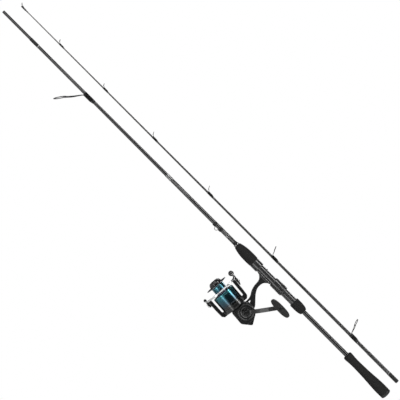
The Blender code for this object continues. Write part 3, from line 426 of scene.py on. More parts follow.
def finish(name, slot, dark, light, smooth, rough, scale, depth, metallic=0.0, coat=0.0, scuffed=0.3,
           gloss=0.30):
    made = bpy.data.materials.new(name)
    made.use_nodes = True
    tree = made.node_tree
    shader = tree.nodes["Principled BSDF"]
    shader.inputs["Metallic"].default_value = metallic
    shader.inputs["Specular IOR Level"].default_value = gloss
    shader.inputs["Coat Weight"].default_value = coat
    shader.inputs["Coat Roughness"].default_value = 0.06
    where = tree.nodes.new("ShaderNodeTexCoord").outputs["Object"]
    grain = use(tree, GRAIN, Vector=where, Scale=scale, Dark=dark, Light=light, Smooth=smooth, Rough=rough)
    top = use(tree, SCUFFS, Vector=where, Colour=grain["Colour"], Worn=grey(0.08),
              Roughness=grain["Roughness"], Amount=scuffed)
    feed(tree, shader.inputs["Base Color"], top["Colour"])
    feed(tree, shader.inputs["Roughness"], top["Roughness"])
    bump = tree.nodes.new("ShaderNodeBump")
    bump.inputs["Distance"].default_value = depth * MM
    feed(tree, bump.inputs["Height"], grain["Height"])
    feed(tree, shader.inputs["Normal"], bump.outputs[0])
    return made


def parts_of(made):
    tree = made.node_tree
    where = [n for n in tree.nodes if n.type == "TEX_COORD"][0].outputs["Object"]
    bump = [n for n in tree.nodes if n.type == "BUMP"][0]
    return tree, tree.nodes["Principled BSDF"], where, bump


# %% [markdown]
# The paints differ mostly in gloss. The reel body is a dark graphite grey, the rotor is glossier and
# blacker, and the rubber paddle is the dullest of them.

# %% Paint, rubber and graphite
body_paint = finish("graphite grey paint", "body_paint", grey(0.010), grey(0.020, (1.0, 1.02, 1.04)), 0.24,
                    0.36, 900.0, 0.010, metallic=0.25, coat=0.6)
rotor_paint = finish("gloss black paint", "rotor_paint", grey(0.006), grey(0.012), 0.18, 0.30, 700.0, 0.008,
                     metallic=0.15, coat=0.7)
seat_graphite = finish("moulded graphite", "seat_graphite", grey(0.012), grey(0.022), 0.26, 0.38, 1200.0,
                       0.020, coat=1.0)
knob_rubber = finish("knob rubber", "knob_rubber", grey(0.010), grey(0.020), 0.38, 0.52, 1500.0, 0.040,
                     scuffed=0.6)
ring_ceramic = finish("ring ceramic", "ring_ceramic", grey(0.016), grey(0.030), 0.08, 0.14, 800.0, 0.004,
                      coat=0.4, scuffed=0.0)
guide_steel = finish("smoked steel", "guide_steel", grey(0.020), grey(0.045), 0.22, 0.34, 900.0, 0.005,
                     metallic=0.8, scuffed=0.1)
arm_paint = finish("satin black arm paint", "arm_aluminium", grey(0.008), grey(0.016), 0.24, 0.36, 800.0,
                   0.010, metallic=0.3, coat=0.4)
print("paints:", body_paint.name, rotor_paint.name, arm_paint.name)

# %% [markdown]
# Grip foam is cut through thousands of tiny closed bubbles. Voronoi cells at about a third of a
# millimetre give the open bubbles as bumps, and the middle of each cell is painted darker as painted shade
# inside the hole. A wide soft noise gives the slight shine where hands have polished it.

# %% Grip foam
grip_foam = finish("grip foam", "grip_foam", grey(0.011, (1.0, 0.99, 0.97)), grey(0.021, (1.0, 0.99, 0.97)),
                   0.74, 0.92, 420.0, 0.12, scuffed=0.0, gloss=0.10)
tree, shader, where, bump = parts_of(grip_foam)
bubbles = tree.nodes.new("ShaderNodeTexVoronoi")
bubbles.inputs["Scale"].default_value = 1700.0
feed(tree, bubbles.inputs["Vector"], where)
pores = spread(tree, bubbles.outputs["Distance"], 0.10, 0.55)
feed(tree, bump.inputs["Height"], pores)
top = [n for n in tree.nodes if n.type == "GROUP" and n.node_tree == SCUFFS][0]
# The centre of each pore is painted darker: painted shade inside the hole.
foam_with_painted_pore_shade = blend(tree, spread(tree, bubbles.outputs["Distance"], 0.0, 0.35, 0.55, 0.0), top.outputs["Colour"],
               grey(0.004))
feed(tree, shader.inputs["Base Color"], foam_with_painted_pore_shade)
print("foam cells across a millimetre:", bubbles.inputs["Scale"].default_value * MM)

# %% [markdown]
# The blank is rolled carbon cloth, ground on centres and dipped in clear lacquer. Under the lacquer the
# fine spiral of the rolling tape still shows. Ahead of the grip the maker lays a decorative cross wrap of
# pale metal thread; it gets a finish of its own, for the thin sleeve laid over the blank there.

# %% Blank lacquer
def spiral_tape(tree, where, along, around):
    """Crossing stripes: a mask that is 1 on the tape and 0 between."""
    bands = []
    for hand in (1.0, -1.0):
        wave = tree.nodes.new("ShaderNodeTexWave")
        wave.bands_direction = "X"
        wave.inputs["Scale"].default_value = along
        wave.inputs["Distortion"].default_value = 0.0
        turn = tree.nodes.new("ShaderNodeMapping")
        turn.inputs["Rotation"].default_value = (0.0, hand * around, 0.0)
        feed(tree, turn.inputs["Vector"], where)
        feed(tree, wave.inputs["Vector"], turn.outputs[0])
        bands.append(wave.outputs["Fac"])
    return calc(tree, "MAXIMUM", bands[0], bands[1])


blank_gloss = finish("blank lacquer", "blank_gloss", grey(0.008), grey(0.014), 0.16, 0.26, 500.0, 0.004,
                     metallic=0.1, coat=0.8, scuffed=0.1)
tree, shader, where, bump = parts_of(blank_gloss)
tape = spread(tree, spiral_tape(tree, where, 260.0, 0.45), 0.90, 0.99, 0.0, 0.12)
top = [n for n in tree.nodes if n.type == "GROUP" and n.node_tree == SCUFFS][0]
rolled = blend(tree, tape, top.outputs["Colour"], grey(0.022))
feed(tree, shader.inputs["Base Color"], rolled)

cross_wrap = finish("pale cross wrap", "blank_gloss", grey(0.030), grey(0.050), 0.20, 0.30, 600.0, 0.003,
                    metallic=0.85, coat=1.0, scuffed=0.1)
tree, shader, where, bump = parts_of(cross_wrap)
lattice = spiral_tape(tree, where, 210.0, 0.70)
top = [n for n in tree.nodes if n.type == "GROUP" and n.node_tree == SCUFFS][0]
laid = blend(tree, spread(tree, lattice, 0.55, 0.80), grey(0.030), top.outputs["Colour"])
feed(tree, shader.inputs["Base Color"], laid)
feed(tree, bump.inputs["Height"], lattice)
print("lacquered finishes:", blank_gloss.name, cross_wrap.name)

# %% [markdown]
# Windings are nylon thread under varnish, so they are a little duller than the blank. The trim bands are
# metallic foil, and the turned metals get rings about their own axis.

# %% Thread and trim
winding_thread = finish("winding thread", "blank_gloss", grey(0.006), grey(0.014), 0.34, 0.46, 2500.0, 0.006,
                        coat=0.25, scuffed=0.0)
trim_silver = finish("silver trim", "bright_steel", grey(0.16), grey(0.26), 0.18, 0.28, 900.0, 0.004,
                     metallic=1.0, coat=0.3, scuffed=0.0)


def lathe_finish(name, slot, dark, light, smooth, rough, lines, depth, place, metallic=1.0, coat=0.0):
    """A turned metal: the same grain and scuffs, with rings about the axis of the piece."""
    made = finish(name, slot, dark, light, smooth, rough, 700.0, depth, metallic, coat, 0.15)
    tree, shader, where, bump = parts_of(made)
    centre = tree.nodes.new("ShaderNodeMapping")
    centre.vector_type = "TEXTURE"
    centre.inputs["Location"].default_value = place.to_translation()
    centre.inputs["Rotation"].default_value = place.to_euler()
    feed(tree, centre.inputs["Vector"], where)
    rings = use(tree, LATHE, Vector=centre.outputs[0], Scale=lines, Smooth=smooth, Rough=rough)
    feed(tree, shader.inputs["Roughness"], rings["Roughness"])
    feed(tree, bump.inputs["Height"], rings["Height"])
    return made


bright_steel = lathe_finish("polished steel", "bright_steel", grey(0.62), grey(0.80), 0.12, 0.24, 2600.0,
                            0.004, REEL)
gear_brass = lathe_finish("gear brass", "gear_brass", (0.42, 0.29, 0.11, 1.0), (0.60, 0.44, 0.19, 1.0),
                          0.22, 0.38, 2200.0, 0.008, REEL)
print("metals:", bright_steel.name, gear_brass.name, trim_silver.name)

# %% [markdown]
# The spool is turned aluminium, anodised deep blue. A ramp along the spool's axis paints its colour in
# bands: dark brown at the rear of the skirt, navy, teal that brightens towards the skirt's front edge, a dark
# purple band at the step down to the arbor, navy and a cyan band on the arbor. The brightening teal and the
# cyan band are painted reflections. Lathe rings over it vary the roughness and paint fine pale cyan lines of
# reflection into the colour.

# %% Anodised spool
spool_dye_and_reflections = lathe_finish("anodised spool", "spool_anodised", grey(0.03), grey(0.05), 0.14, 0.26, 3000.0,
                         0.010, REEL, coat=0.3)
tree, shader, where, bump = parts_of(spool_dye_and_reflections)
centre = [n for n in tree.nodes if n.type == "MAPPING"][0]
along = tree.nodes.new("ShaderNodeSeparateXYZ")
feed(tree, along.inputs[0], centre.outputs[0])
dye_and_reflection_ramp = tree.nodes.new("ShaderNodeValToRGB")
feed(tree, dye_and_reflection_ramp.inputs["Fac"], spread(tree, along.outputs["X"], 8.0 * MM, 61.0 * MM))
# The teal brightening up to 0.57 and the cyan stop at 0.90 are painted reflections on the skirt and the
# arbor.
stops = ((0.0, (0.060, 0.045, 0.035, 1.0)), (0.15, (0.030, 0.050, 0.070, 1.0)),
         (0.38, (0.030, 0.110, 0.150, 1.0)),
         (0.57, (0.050, 0.230, 0.260, 1.0)), (0.62, (0.070, 0.040, 0.070, 1.0)),
         (0.70, (0.030, 0.080, 0.140, 1.0)),
         (0.90, (0.080, 0.300, 0.360, 1.0)), (0.97, (0.120, 0.105, 0.112, 1.0)))
for i, (position, colour) in enumerate(stops):
    stop = dye_and_reflection_ramp.color_ramp.elements[i] if i < 2 else dye_and_reflection_ramp.color_ramp.elements.new(position)
    stop.position = position
    stop.color = colour
rings = [n for n in tree.nodes if n.type == "GROUP" and n.node_tree == LATHE][0]
# Pale cyan mixed in along the lathe rings: painted lines of reflection over the ramp.
spool_colour_with_painted_reflections = blend(tree, spread(tree, rings.outputs["Share"], 0.35, 0.65, 0.0, 0.35), dye_and_reflection_ramp.outputs["Color"],
             grey(0.09, (0.6, 1.1, 1.2)))
feed(tree, shader.inputs["Base Color"], spool_colour_with_painted_reflections)
print("dye stops:", len(dye_and_reflection_ramp.color_ramp.elements))

# %% [markdown]
# ## Repeats
# Windings, knurls, ribs and screws repeat one small shape many times. Geometry Nodes places the copies from
# a count and a size, so changing a winding is changing a number.

# %% Geometry Nodes helpers
def geometry_tree(name, inputs):
    tree = bpy.data.node_groups.new(name, "GeometryNodeTree")
    for label, kind in inputs:
        tree.interface.new_socket(name=label, in_out="INPUT", socket_type=kind)
    tree.interface.new_socket(name="Geometry", in_out="OUTPUT", socket_type="NodeSocketGeometry")
    return tree, tree.nodes.new("NodeGroupInput").outputs, tree.nodes.new("NodeGroupOutput").inputs[0]


def end_tree(tree, instances, material, out):
    real = tree.nodes.new("GeometryNodeRealizeInstances")
    painted = tree.nodes.new("GeometryNodeSetMaterial")
    feed(tree, real.inputs[0], instances)
    feed(tree, painted.inputs["Geometry"], real.outputs[0])
    feed(tree, painted.inputs["Material"], material)
    feed(tree, out, painted.outputs[0])


def grown(tree, **values):
    """Run a tree on an empty host and return the plain mesh."""
    host = bpy.data.objects.new("host", bpy.data.meshes.new("host"))
    bpy.context.scene.collection.objects.link(host)
    step = host.modifiers.new("grow", "NODES")
    step.node_group = tree
    for item in tree.interface.items_tree:
        if item.in_out == "INPUT":
            step[item.identifier] = values[item.name.replace(" ", "_")]
    return evaluated_mesh(host)


# %% [markdown]
# A line guide is bound on with one thread laid turn beside turn. Each turn is a thin ring; the rings start
# tight on the blank and swell where the guide's foot lies underneath. Lift moves them over to the foot's
# side.

# %% A thread winding
WINDING, taken, out = geometry_tree(
    "Thread winding",
    [("Start", "NodeSocketFloat"), ("Pitch", "NodeSocketFloat"), ("Turns", "NodeSocketInt"),
     ("Rear radius", "NodeSocketFloat"), ("Front radius", "NodeSocketFloat"), ("Lift", "NodeSocketFloat"),
     ("Height", "NodeSocketFloat"), ("Thread", "NodeSocketFloat"), ("Finish", "NodeSocketMaterial")])
start = WINDING.nodes.new("ShaderNodeCombineXYZ")
feed(WINDING, start.inputs["X"], taken["Start"])
feed(WINDING, start.inputs["Z"], taken["Height"])
pitch = WINDING.nodes.new("ShaderNodeCombineXYZ")
feed(WINDING, pitch.inputs["X"], taken["Pitch"])
line = WINDING.nodes.new("GeometryNodeMeshLine")
feed(WINDING, line.inputs["Count"], taken["Turns"])
feed(WINDING, line.inputs["Start Location"], start.outputs[0])
feed(WINDING, line.inputs["Offset"], pitch.outputs[0])
index = WINDING.nodes.new("GeometryNodeInputIndex").outputs[0]
share = calc(WINDING, "DIVIDE", index, calc(WINDING, "SUBTRACT", taken["Turns"], 1.0))
swell = spread(WINDING, share, 0.0, 0.30)
shift = calc(WINDING, "MULTIPLY", calc(WINDING, "MULTIPLY", swell, taken["Lift"]), 0.5)
plain = spread(WINDING, share, 0.0, 1.0, taken["Rear radius"], taken["Front radius"])
radius = calc(WINDING, "ADD", plain, calc(WINDING, "ABSOLUTE", shift))
ratio = calc(WINDING, "DIVIDE", radius, taken["Rear radius"])
move = WINDING.nodes.new("GeometryNodeSetPosition")
offset = WINDING.nodes.new("ShaderNodeCombineXYZ")
feed(WINDING, offset.inputs["Z"], shift)
feed(WINDING, move.inputs["Geometry"], line.outputs[0])
feed(WINDING, move.inputs["Offset"], offset.outputs[0])
loop = WINDING.nodes.new("GeometryNodeCurvePrimitiveCircle")
loop.inputs["Resolution"].default_value = 28
feed(WINDING, loop.inputs["Radius"], taken["Rear radius"])
section = WINDING.nodes.new("GeometryNodeCurvePrimitiveCircle")
section.inputs["Resolution"].default_value = 5
feed(WINDING, section.inputs["Radius"], taken["Thread"])
turn = WINDING.nodes.new("GeometryNodeCurveToMesh")
feed(WINDING, turn.inputs["Curve"], loop.outputs[0])
feed(WINDING, turn.inputs["Profile Curve"], section.outputs[0])
across = WINDING.nodes.new("GeometryNodeTransform")
feed(WINDING, across.inputs["Geometry"], turn.outputs[0])
across.inputs["Rotation"].default_value = (0.0, pi / 2, 0.0)
size = WINDING.nodes.new("ShaderNodeCombineXYZ")
size.inputs["X"].default_value = 1.0
feed(WINDING, size.inputs["Y"], ratio)
feed(WINDING, size.inputs["Z"], ratio)
laid = WINDING.nodes.new("GeometryNodeInstanceOnPoints")
feed(WINDING, laid.inputs["Points"], move.outputs[0])
feed(WINDING, laid.inputs["Instance"], across.outputs[0])
feed(WINDING, laid.inputs["Scale"], size.outputs[0])
end_tree(WINDING, laid.outputs[0], taken["Finish"], out)
print("tree made:", WINDING.name)

# %% [markdown]
# Knurls and ribs stand in a ring. The copies are placed at equal angles round X and each is turned to face
# out.

# %% A ring of copies
RING, taken, out = geometry_tree(
    "Ring of copies",
    [("Part", "NodeSocketObject"), ("Copies", "NodeSocketInt"), ("Radius", "NodeSocketFloat"),
     ("Finish", "NodeSocketMaterial")])
index = RING.nodes.new("GeometryNodeInputIndex").outputs[0]
angle = calc(RING, "DIVIDE", calc(RING, "MULTIPLY", index, 2.0 * pi), taken["Copies"])
spot = RING.nodes.new("ShaderNodeCombineXYZ")
feed(RING, spot.inputs["Y"], calc(RING, "MULTIPLY", calc(RING, "SINE", angle), calc(RING, "MULTIPLY",
     taken["Radius"], -1.0)))
feed(RING, spot.inputs["Z"], calc(RING, "MULTIPLY", calc(RING, "COSINE", angle), taken["Radius"]))
points = RING.nodes.new("GeometryNodePoints")
feed(RING, points.inputs["Count"], taken["Copies"])
feed(RING, points.inputs["Position"], spot.outputs[0])
facing = RING.nodes.new("ShaderNodeCombineXYZ")
feed(RING, facing.inputs["X"], angle)
source = RING.nodes.new("GeometryNodeObjectInfo")
feed(RING, source.inputs["Object"], taken["Part"])
copies = RING.nodes.new("GeometryNodeInstanceOnPoints")
feed(RING, copies.inputs["Points"], points.outputs[0])
feed(RING, copies.inputs["Instance"], source.outputs["Geometry"])
feed(RING, copies.inputs["Rotation"], facing.outputs[0])
end_tree(RING, copies.outputs[0], taken["Finish"], out)


def ring_of(shape, count, radius, finish_used, place):
    part = bpy.data.objects.new("part", gathered([shape], "part"))
    bpy.context.scene.collection.objects.link(part)
    mesh = grown(RING, Part=part, Copies=count, Radius=radius * MM, Finish=finish_used)
    bpy.data.objects.remove(part)
    mesh.transform(place)
    return mesh


print("tree made:", RING.name)

# %% [markdown]
# Along a straight edge the copies stand in a row. The rubber ribs of the crank knob and the screws of the
# reel's cover both come from this tree, which puts a copy on every point of a short list.

# %% Copies on a list of points
SPOTS, taken, out = geometry_tree(
    "Copies on points",
    [("Points", "NodeSocketObject"), ("Part", "NodeSocketObject"), ("Finish", "NodeSocketMaterial")])
listed = SPOTS.nodes.new("GeometryNodeObjectInfo")
feed(SPOTS, listed.inputs["Object"], taken["Points"])
source = SPOTS.nodes.new("GeometryNodeObjectInfo")
feed(SPOTS, source.inputs["Object"], taken["Part"])
copies = SPOTS.nodes.new("GeometryNodeInstanceOnPoints")
feed(SPOTS, copies.inputs["Points"], listed.outputs["Geometry"])
feed(SPOTS, copies.inputs["Instance"], source.outputs["Geometry"])
end_tree(SPOTS, copies.outputs[0], taken["Finish"], out)


def copies_at(shape, spots, finish_used, place):
    part = bpy.data.objects.new("part", gathered([shape], "part"))
    marks = bpy.data.meshes.new("marks")
    marks.from_pydata([(x * MM, y * MM, z * MM) for x, y, z in spots], [], [])
    marked = bpy.data.objects.new("marks", marks)
    for obj in (part, marked):
        bpy.context.scene.collection.objects.link(obj)
    mesh = grown(SPOTS, Points=marked, Part=part, Finish=finish_used)
    for obj in (part, marked):
        bpy.data.objects.remove(obj)
    mesh.transform(place)
    return mesh


print("tree made:", SPOTS.name)

# %% [markdown]
# A screw thread is one ridge that climbs as it goes round. A spiral curve with no change of radius is that
# ridge's path.

# %% A helical ridge
HELIX, taken, out = geometry_tree(
    "Screw thread",
    [("Turns", "NodeSocketFloat"), ("Radius", "NodeSocketFloat"), ("Length", "NodeSocketFloat"),
     ("Ridge", "NodeSocketFloat"), ("Finish", "NodeSocketMaterial")])
climb = HELIX.nodes.new("GeometryNodeCurveSpiral")
climb.inputs["Resolution"].default_value = 48
feed(HELIX, climb.inputs["Rotations"], taken["Turns"])
feed(HELIX, climb.inputs["Start Radius"], taken["Radius"])
feed(HELIX, climb.inputs["End Radius"], taken["Radius"])
feed(HELIX, climb.inputs["Height"], taken["Length"])
section = HELIX.nodes.new("GeometryNodeCurvePrimitiveCircle")
section.inputs["Resolution"].default_value = 8
feed(HELIX, section.inputs["Radius"], taken["Ridge"])
ridge = HELIX.nodes.new("GeometryNodeCurveToMesh")
ridge.inputs["Fill Caps"].default_value = True
feed(HELIX, ridge.inputs["Curve"], climb.outputs[0])
feed(HELIX, ridge.inputs["Profile Curve"], section.outputs[0])
end_tree(HELIX, ridge.outputs[0], taken["Finish"], out)
print("tree made:", HELIX.name)

# %% [markdown]
# ## The butt section
# The blank is a long tapered tube. Its wall shows at the open spigot, so it is modelled hollow. The cross
# wrap is its own thin sleeve over the blank, between the fore grip and the front trim.

# %% Blank of the butt section
BUTT_STATIONS = ((-343.0, 5.3), (-107.0, 4.95), (90.0, 4.65), (147.0, 4.4), (358.0, 3.9), (482.0, 3.6),
                 (692.0, 3.3))
TIP_STATIONS = ((-347.0, 3.95), (-97.0, 3.2), (58.0, 2.45), (400.0, 1.7), (752.0, 1.0))
WALL = 0.9


def radius_at(stations, x):
    for (x0, r0), (x1, r1) in zip(stations, stations[1:]):
        if x <= x1:
            return r0 + (r1 - r0) * (x - x0) / (x1 - x0)
    return stations[-1][1]


outer = [(772.0, 2.7), (771.0, 3.1), (692.4, 3.1)] + list(reversed(BUTT_STATIONS))
bore = [(x, r - WALL) for x, r in BUTT_STATIONS] + [(772.0, 2.2)]
piece("butt_blank_skin", [turned(outer + bore, segments=64)], blank_gloss, "root", "butt_blank")


def sleeve(rear, front, stations, height=0.0, thickness=0.16, skin=0.02):
    """A thin painted or plated band round a blank, with rounded ends."""
    low = radius_at(stations, rear) + skin
    high = radius_at(stations, front) + skin
    profile = [(front, high), (front - 0.2, high + thickness), (rear + 0.2, low + thickness), (rear, low)]
    return turned(profile, at(0.0, 0.0, height) @ ALONG_X, 64)


piece("cross_wrap_sleeve", [sleeve(97.0, 278.0, BUTT_STATIONS)], cross_wrap, "root")
trims = [sleeve(112.6, 117.4, BUTT_STATIONS, thickness=0.3),
         sleeve(279.0, 294.0, BUTT_STATIONS, thickness=0.3),
         sleeve(668.0, 670.4, BUTT_STATIONS, thickness=0.25)]
piece("butt_trim_bands", trims, trim_silver, "root")

# %% [markdown]
# Foam grips are ground to shape on a lathe after gluing, so they are bodies of revolution with soft
# shoulders.

# %% Grips and butt cap
cap = [(-343.3, 0.0), (-343.3, 11.6), (-347.6, 11.6), (-349.3, 10.8), (-350.0, 9.0), (-350.0, 5.0),
       (-349.4, 4.0), (-349.4, 0.0)]
piece("butt_cap_moulding", [turned(softened(cap, 0.8))], knob_rubber, "root", "butt_cap")

front = -234.0
shape = ((0.0, 7.9), (-1.3, 9.4), (-3.5, 9.8), (-8.0, 9.5), (-20.0, 8.5), (-35.0, 8.7), (-52.0, 9.2),
         (-66.0, 10.0), (-81.0, 11.1), (-95.0, 11.8))
outer = [(front + x, r) for x, r in shape] + [(-343.0, 11.6)]
rear_bore = [(-343.0, 5.6), (front, 5.45)]
piece("butt_grip_foam", [turned(softened(outer, 5.0, 6) + rear_bore)], grip_foam, "root", "butt_grip")

outer = [(-78.3, 10.2), (-79.3, 10.8), (-92.3, 10.8), (-99.3, 10.2), (-104.3, 9.0), (-107.0, 7.4)]
piece("rear_grip_foam", [turned(softened(outer, 2.5, 6) + [(-107.0, 5.3), (-78.3, 5.3)])], grip_foam, "root",
      "rear_grip")

outer = [(87.0, 6.6), (85.0, 7.9), (80.0, 9.1), (73.0, 10.6), (62.0, 11.7), (49.0, 11.9), (40.3, 11.5),
         (39.3, 11.2)]
piece("fore_grip_foam", [turned(softened(outer, 4.0, 6) + [(39.3, 5.1), (87.0, 5.0)])], grip_foam, "root",
      "fore_grip")
collar = [(91.0, 5.2), (90.4, 6.05), (87.9, 6.15), (87.3, 5.6), (87.3, 5.0), (91.0, 5.0)]
piece("winding_check_ring", [turned(collar, segments=64)], trim_silver, "root", "winding_check")

# %% [markdown]
# ## The reel seat
# The seat is a moulded tube with a flat for the reel's foot, a fixed hood in front and a thread behind. A
# raised seam runs slantwise round the barrel, with a small bump at its top. The seam is a thin bead swept
# along a tilted ring, open at the bottom where the reel's foot lies.

# %% Seat barrel
outer = [(39.0, 10.7), (38.4, 11.2), (22.0, 11.2), (21.0, 10.5), (21.0, 8.5), (-19.0, 8.5), (-19.6, 8.4),
         (-78.0, 8.4)]
seat = turned(softened(outer, 0.5) + [(-78.0, 5.7), (39.0, 5.7)])
flat = slab([(-29.0, -14.0), (21.0, -14.0), (21.0, -7.2), (-29.0, -7.2)], -12.0, 12.0)
pocket = slab([(20.0, -9.1), (33.3, -9.1), (33.3, -7.19), (20.0, -7.19)], -5.3, 5.3)
put("seat_barrel", carved([seat], [flat, pocket]), seat_graphite, "root", "reel_seat", sharp=30.0)

# %% [markdown]
# Where the halves of the mould met, a fine bead is left standing. It is swept as one tube so that it
# catches the light on every side.

# %% Seat seam
ring = [radians(angle) for angle in range(-140, 141, 10)]
seam = swept([Vector((8.5 * cos(a) - 0.5, 8.5 * sin(a), 8.5 * cos(a))) for a in ring], 0.45, sides=10)
bump_on_seam = ball((8.0, 0.0, 8.9), 1.3, HERE)
piece("seat_seam_bead", [seam, bump_on_seam], seat_graphite, "root")

# %% [markdown]
# The nut runs on a coarse thread moulded into the tube. One ridge swept along a helix gives it, and the
# number of turns follows from its pitch.

# %% Seat thread
ridge = grown(HELIX, Turns=23.0, Radius=8.42 * MM, Length=57.5 * MM, Ridge=0.36 * MM, Finish=seat_graphite)
ridge.transform(at(-77.5, 0.0, 0.0) @ ALONG_X)
put("seat_thread", ridge, seat_graphite, "root")

# %% [markdown]
# The clamp is a sliding hood and the knurled nut that pushes it. The nut's grip is a ring of rounded ribs.

# %% Sliding hood and nut
outer = [(-19.0, 10.5), (-19.8, 11.1), (-30.0, 11.1)]
hood = turned(softened(outer, 0.6) + [(-30.0, 9.1), (-19.0, 9.1)])
pocket = slab([(-28.3, -9.1), (-18.0, -9.1), (-18.0, -7.0), (-28.3, -7.0)], -5.3, 5.3)
put("sliding_hood_moulding", carved([hood], [pocket]), seat_graphite, "hood", "sliding_hood", sharp=30.0)

outer = [(-30.3, 10.4), (-31.0, 11.1), (-34.2, 11.1), (-34.8, 10.6), (-46.2, 10.6), (-46.8, 11.1),
         (-48.2, 11.1), (-49.0, 10.3)]
piece("locking_nut_barrel", [turned(softened(outer, 0.4) + [(-49.0, 9.1), (-30.3, 9.1)])], seat_graphite,
      "nut", "locking_nut")
rib = swept([Vector((-46.0, 0, 0)), Vector((-35.0, 0, 0))], 0.42, sides=8)
put("locking_nut_ribs", ring_of(rib, 36, 10.65, seat_graphite, HERE), seat_graphite, "nut")

# %% [markdown]
# The keeper is a bent wire loop under two short windings; a hook rests in it between casts.

# %% Hook keeper
height = -5.35
path = smooth_path([(133.0, 0.0, height), (138.0, 0.0, height), (140.5, 0.0, height - 3.6),
                    (144.5, 0.0, height - 3.6), (147.0, 0.0, height), (152.0, 0.0, height)], 8)
piece("hook_keeper_wire", [swept(path, 0.6)], guide_steel, "root", "hook_keeper")

# %% [markdown]
# ## Line guides
# A guide is a bent wire frame with a foot, two legs and a hoop, and a hard ring pressed into the hoop.
# Every guide is the same drawing at another size, so one function makes them all, and its winding comes
# with it.

# %% Guide maker
def hoop(centre, major, minor, lean, side, sides=12):
    out = Vector((sin(radians(lean)), 0.0, side * cos(radians(lean))))
    steps = 56
    path = []
    for i in range(steps):
        angle = 2.0 * pi * i / steps
        path.append(centre + out * major * cos(angle) + Vector((0.0, major * sin(angle), 0.0)))
    return swept(path, minor, sides=sides, loop=True)


def winding(name, body, rear, front, stations, height=0.0, lift=0.0, thread=0.22, finish_used=None):
    pitch = 1.7 * thread
    turns = int((front - rear) / pitch) + 1
    chosen = finish_used or winding_thread
    mesh = grown(WINDING, Start=rear * MM, Pitch=pitch * MM, Turns=turns,
                 Rear_radius=(radius_at(stations, rear) + 0.5 * thread) * MM,
                 Front_radius=(radius_at(stations, front) + 0.5 * thread) * MM, Lift=lift * MM,
                 Height=height * MM, Thread=thread * MM, Finish=chosen)
    return put(name, mesh, chosen, body, sharp=80.0)


def guide(name, foot_rear, foot_front, ring_x, rise, diameter, lean, stock, axis_z, side, stations, body):
    play = 0.3 if diameter > 20.0 else 0.15
    surface = radius_at(stations, foot_rear) + play
    height = axis_z + side * (surface + stock)
    centre = Vector((ring_x, 0.0, axis_z + side * rise))
    out = Vector((sin(radians(lean)), 0.0, side * cos(radians(lean))))
    major = diameter / 2 - stock
    thin = 0.45 * stock
    foot = [Vector((foot_rear, 0.0, axis_z + side * (surface + thin))), Vector((foot_front, 0.0, height))]
    shapes = [hoop(centre, major, stock, lean, side), swept(foot, (thin, stock))]
    for hand in (-1, 1):
        start = Vector((foot_front - 3.0 * stock, hand * 0.8 * stock, height))
        knee = Vector((foot_front + 1.0 * stock, hand * 1.4 * stock, height + side * 2.2 * stock))
        end = centre - out * major * 0.45 + Vector((0.0, hand * major * 0.893, 0.0))
        middle = knee.lerp(end, 0.55) + Vector((-0.03 * rise, hand * major * 0.10, 0.0))
        shapes.append(swept(smooth_path([start, knee, middle, end], 8), stock))
    piece(name + "_wire", shapes, guide_steel, body, name + "_frame")
    ring_stock = 0.8 * stock
    ring_major = major - stock - play - ring_stock
    piece(name + "_ring", [hoop(centre, ring_major, ring_stock, lean, side, 16)], ring_ceramic, body,
          name + "_insert")
    winding(name + "_winding", body, foot_rear - 3.5, foot_front - 0.5, stations, axis_z, side * 2.0 * stock,
            0.16 + 0.06 * stock)


# %% [markdown]
# Each guide is described by one row of numbers: where its foot ends, where its ring stands, how wide and
# how high the ring is and how thick its wire is. The rings shrink towards the tip as the line settles.

# %% Guides of both sections
guide("stripper", 509.0, 533.0, 563.0, 43.0, 28.0, 34.0, 0.9, 0.0, -1, BUTT_STATIONS, "root")
TIP_GUIDES = (
    ("guide_1", -226.0, -209.0, -200.0, 26.3, 16.4, 18.0, 0.65),
    ("guide_2", 7.0, 21.0, 26.8, 16.2, 11.5, 23.0, 0.55),
    ("guide_3", 196.0, 208.0, 213.0, 8.8, 9.0, 24.0, 0.50),
    ("guide_4", 359.0, 370.0, 374.0, 7.0, 7.0, 25.0, 0.45),
    ("guide_5", 504.0, 514.0, 517.5, 5.5, 6.0, 25.0, 0.42),
    ("guide_6", 633.0, 643.0, 646.5, 5.6, 5.7, 25.0, 0.42),
)
for values in TIP_GUIDES:
    guide(*values, TIP_AXIS, 1, TIP_STATIONS, "tip_section")

# %% [markdown]
# ## The tip section
# It is the same rolled tube, slimmer, with a socket at its base that slips over the spigot. The tip-top is
# a small tube glued over the end, with its own hoop and ring.

# %% Tip blank, socket and tip-top
TIP_PLACE = at(0.0, 0.0, TIP_AXIS) @ ALONG_X
outer = [(752.0, 0.0), (752.0, 1.0), (400.0, 1.7), (58.0, 2.45), (-97.0, 3.2), (-261.7, 3.69), (-261.7, 0.0)]
piece("tip_blank_skin", [turned(outer, TIP_PLACE, 48)], blank_gloss, "tip_section", "tip_blank")
socket = [(-262.0, 3.69), (-262.4, 3.95), (-346.6, 3.95), (-347.0, 3.75), (-347.0, 3.3), (-262.0, 3.3)]
piece("ferrule_socket_sleeve", [turned(socket, TIP_PLACE, 48)], blank_gloss, "tip_section", "ferrule_socket")

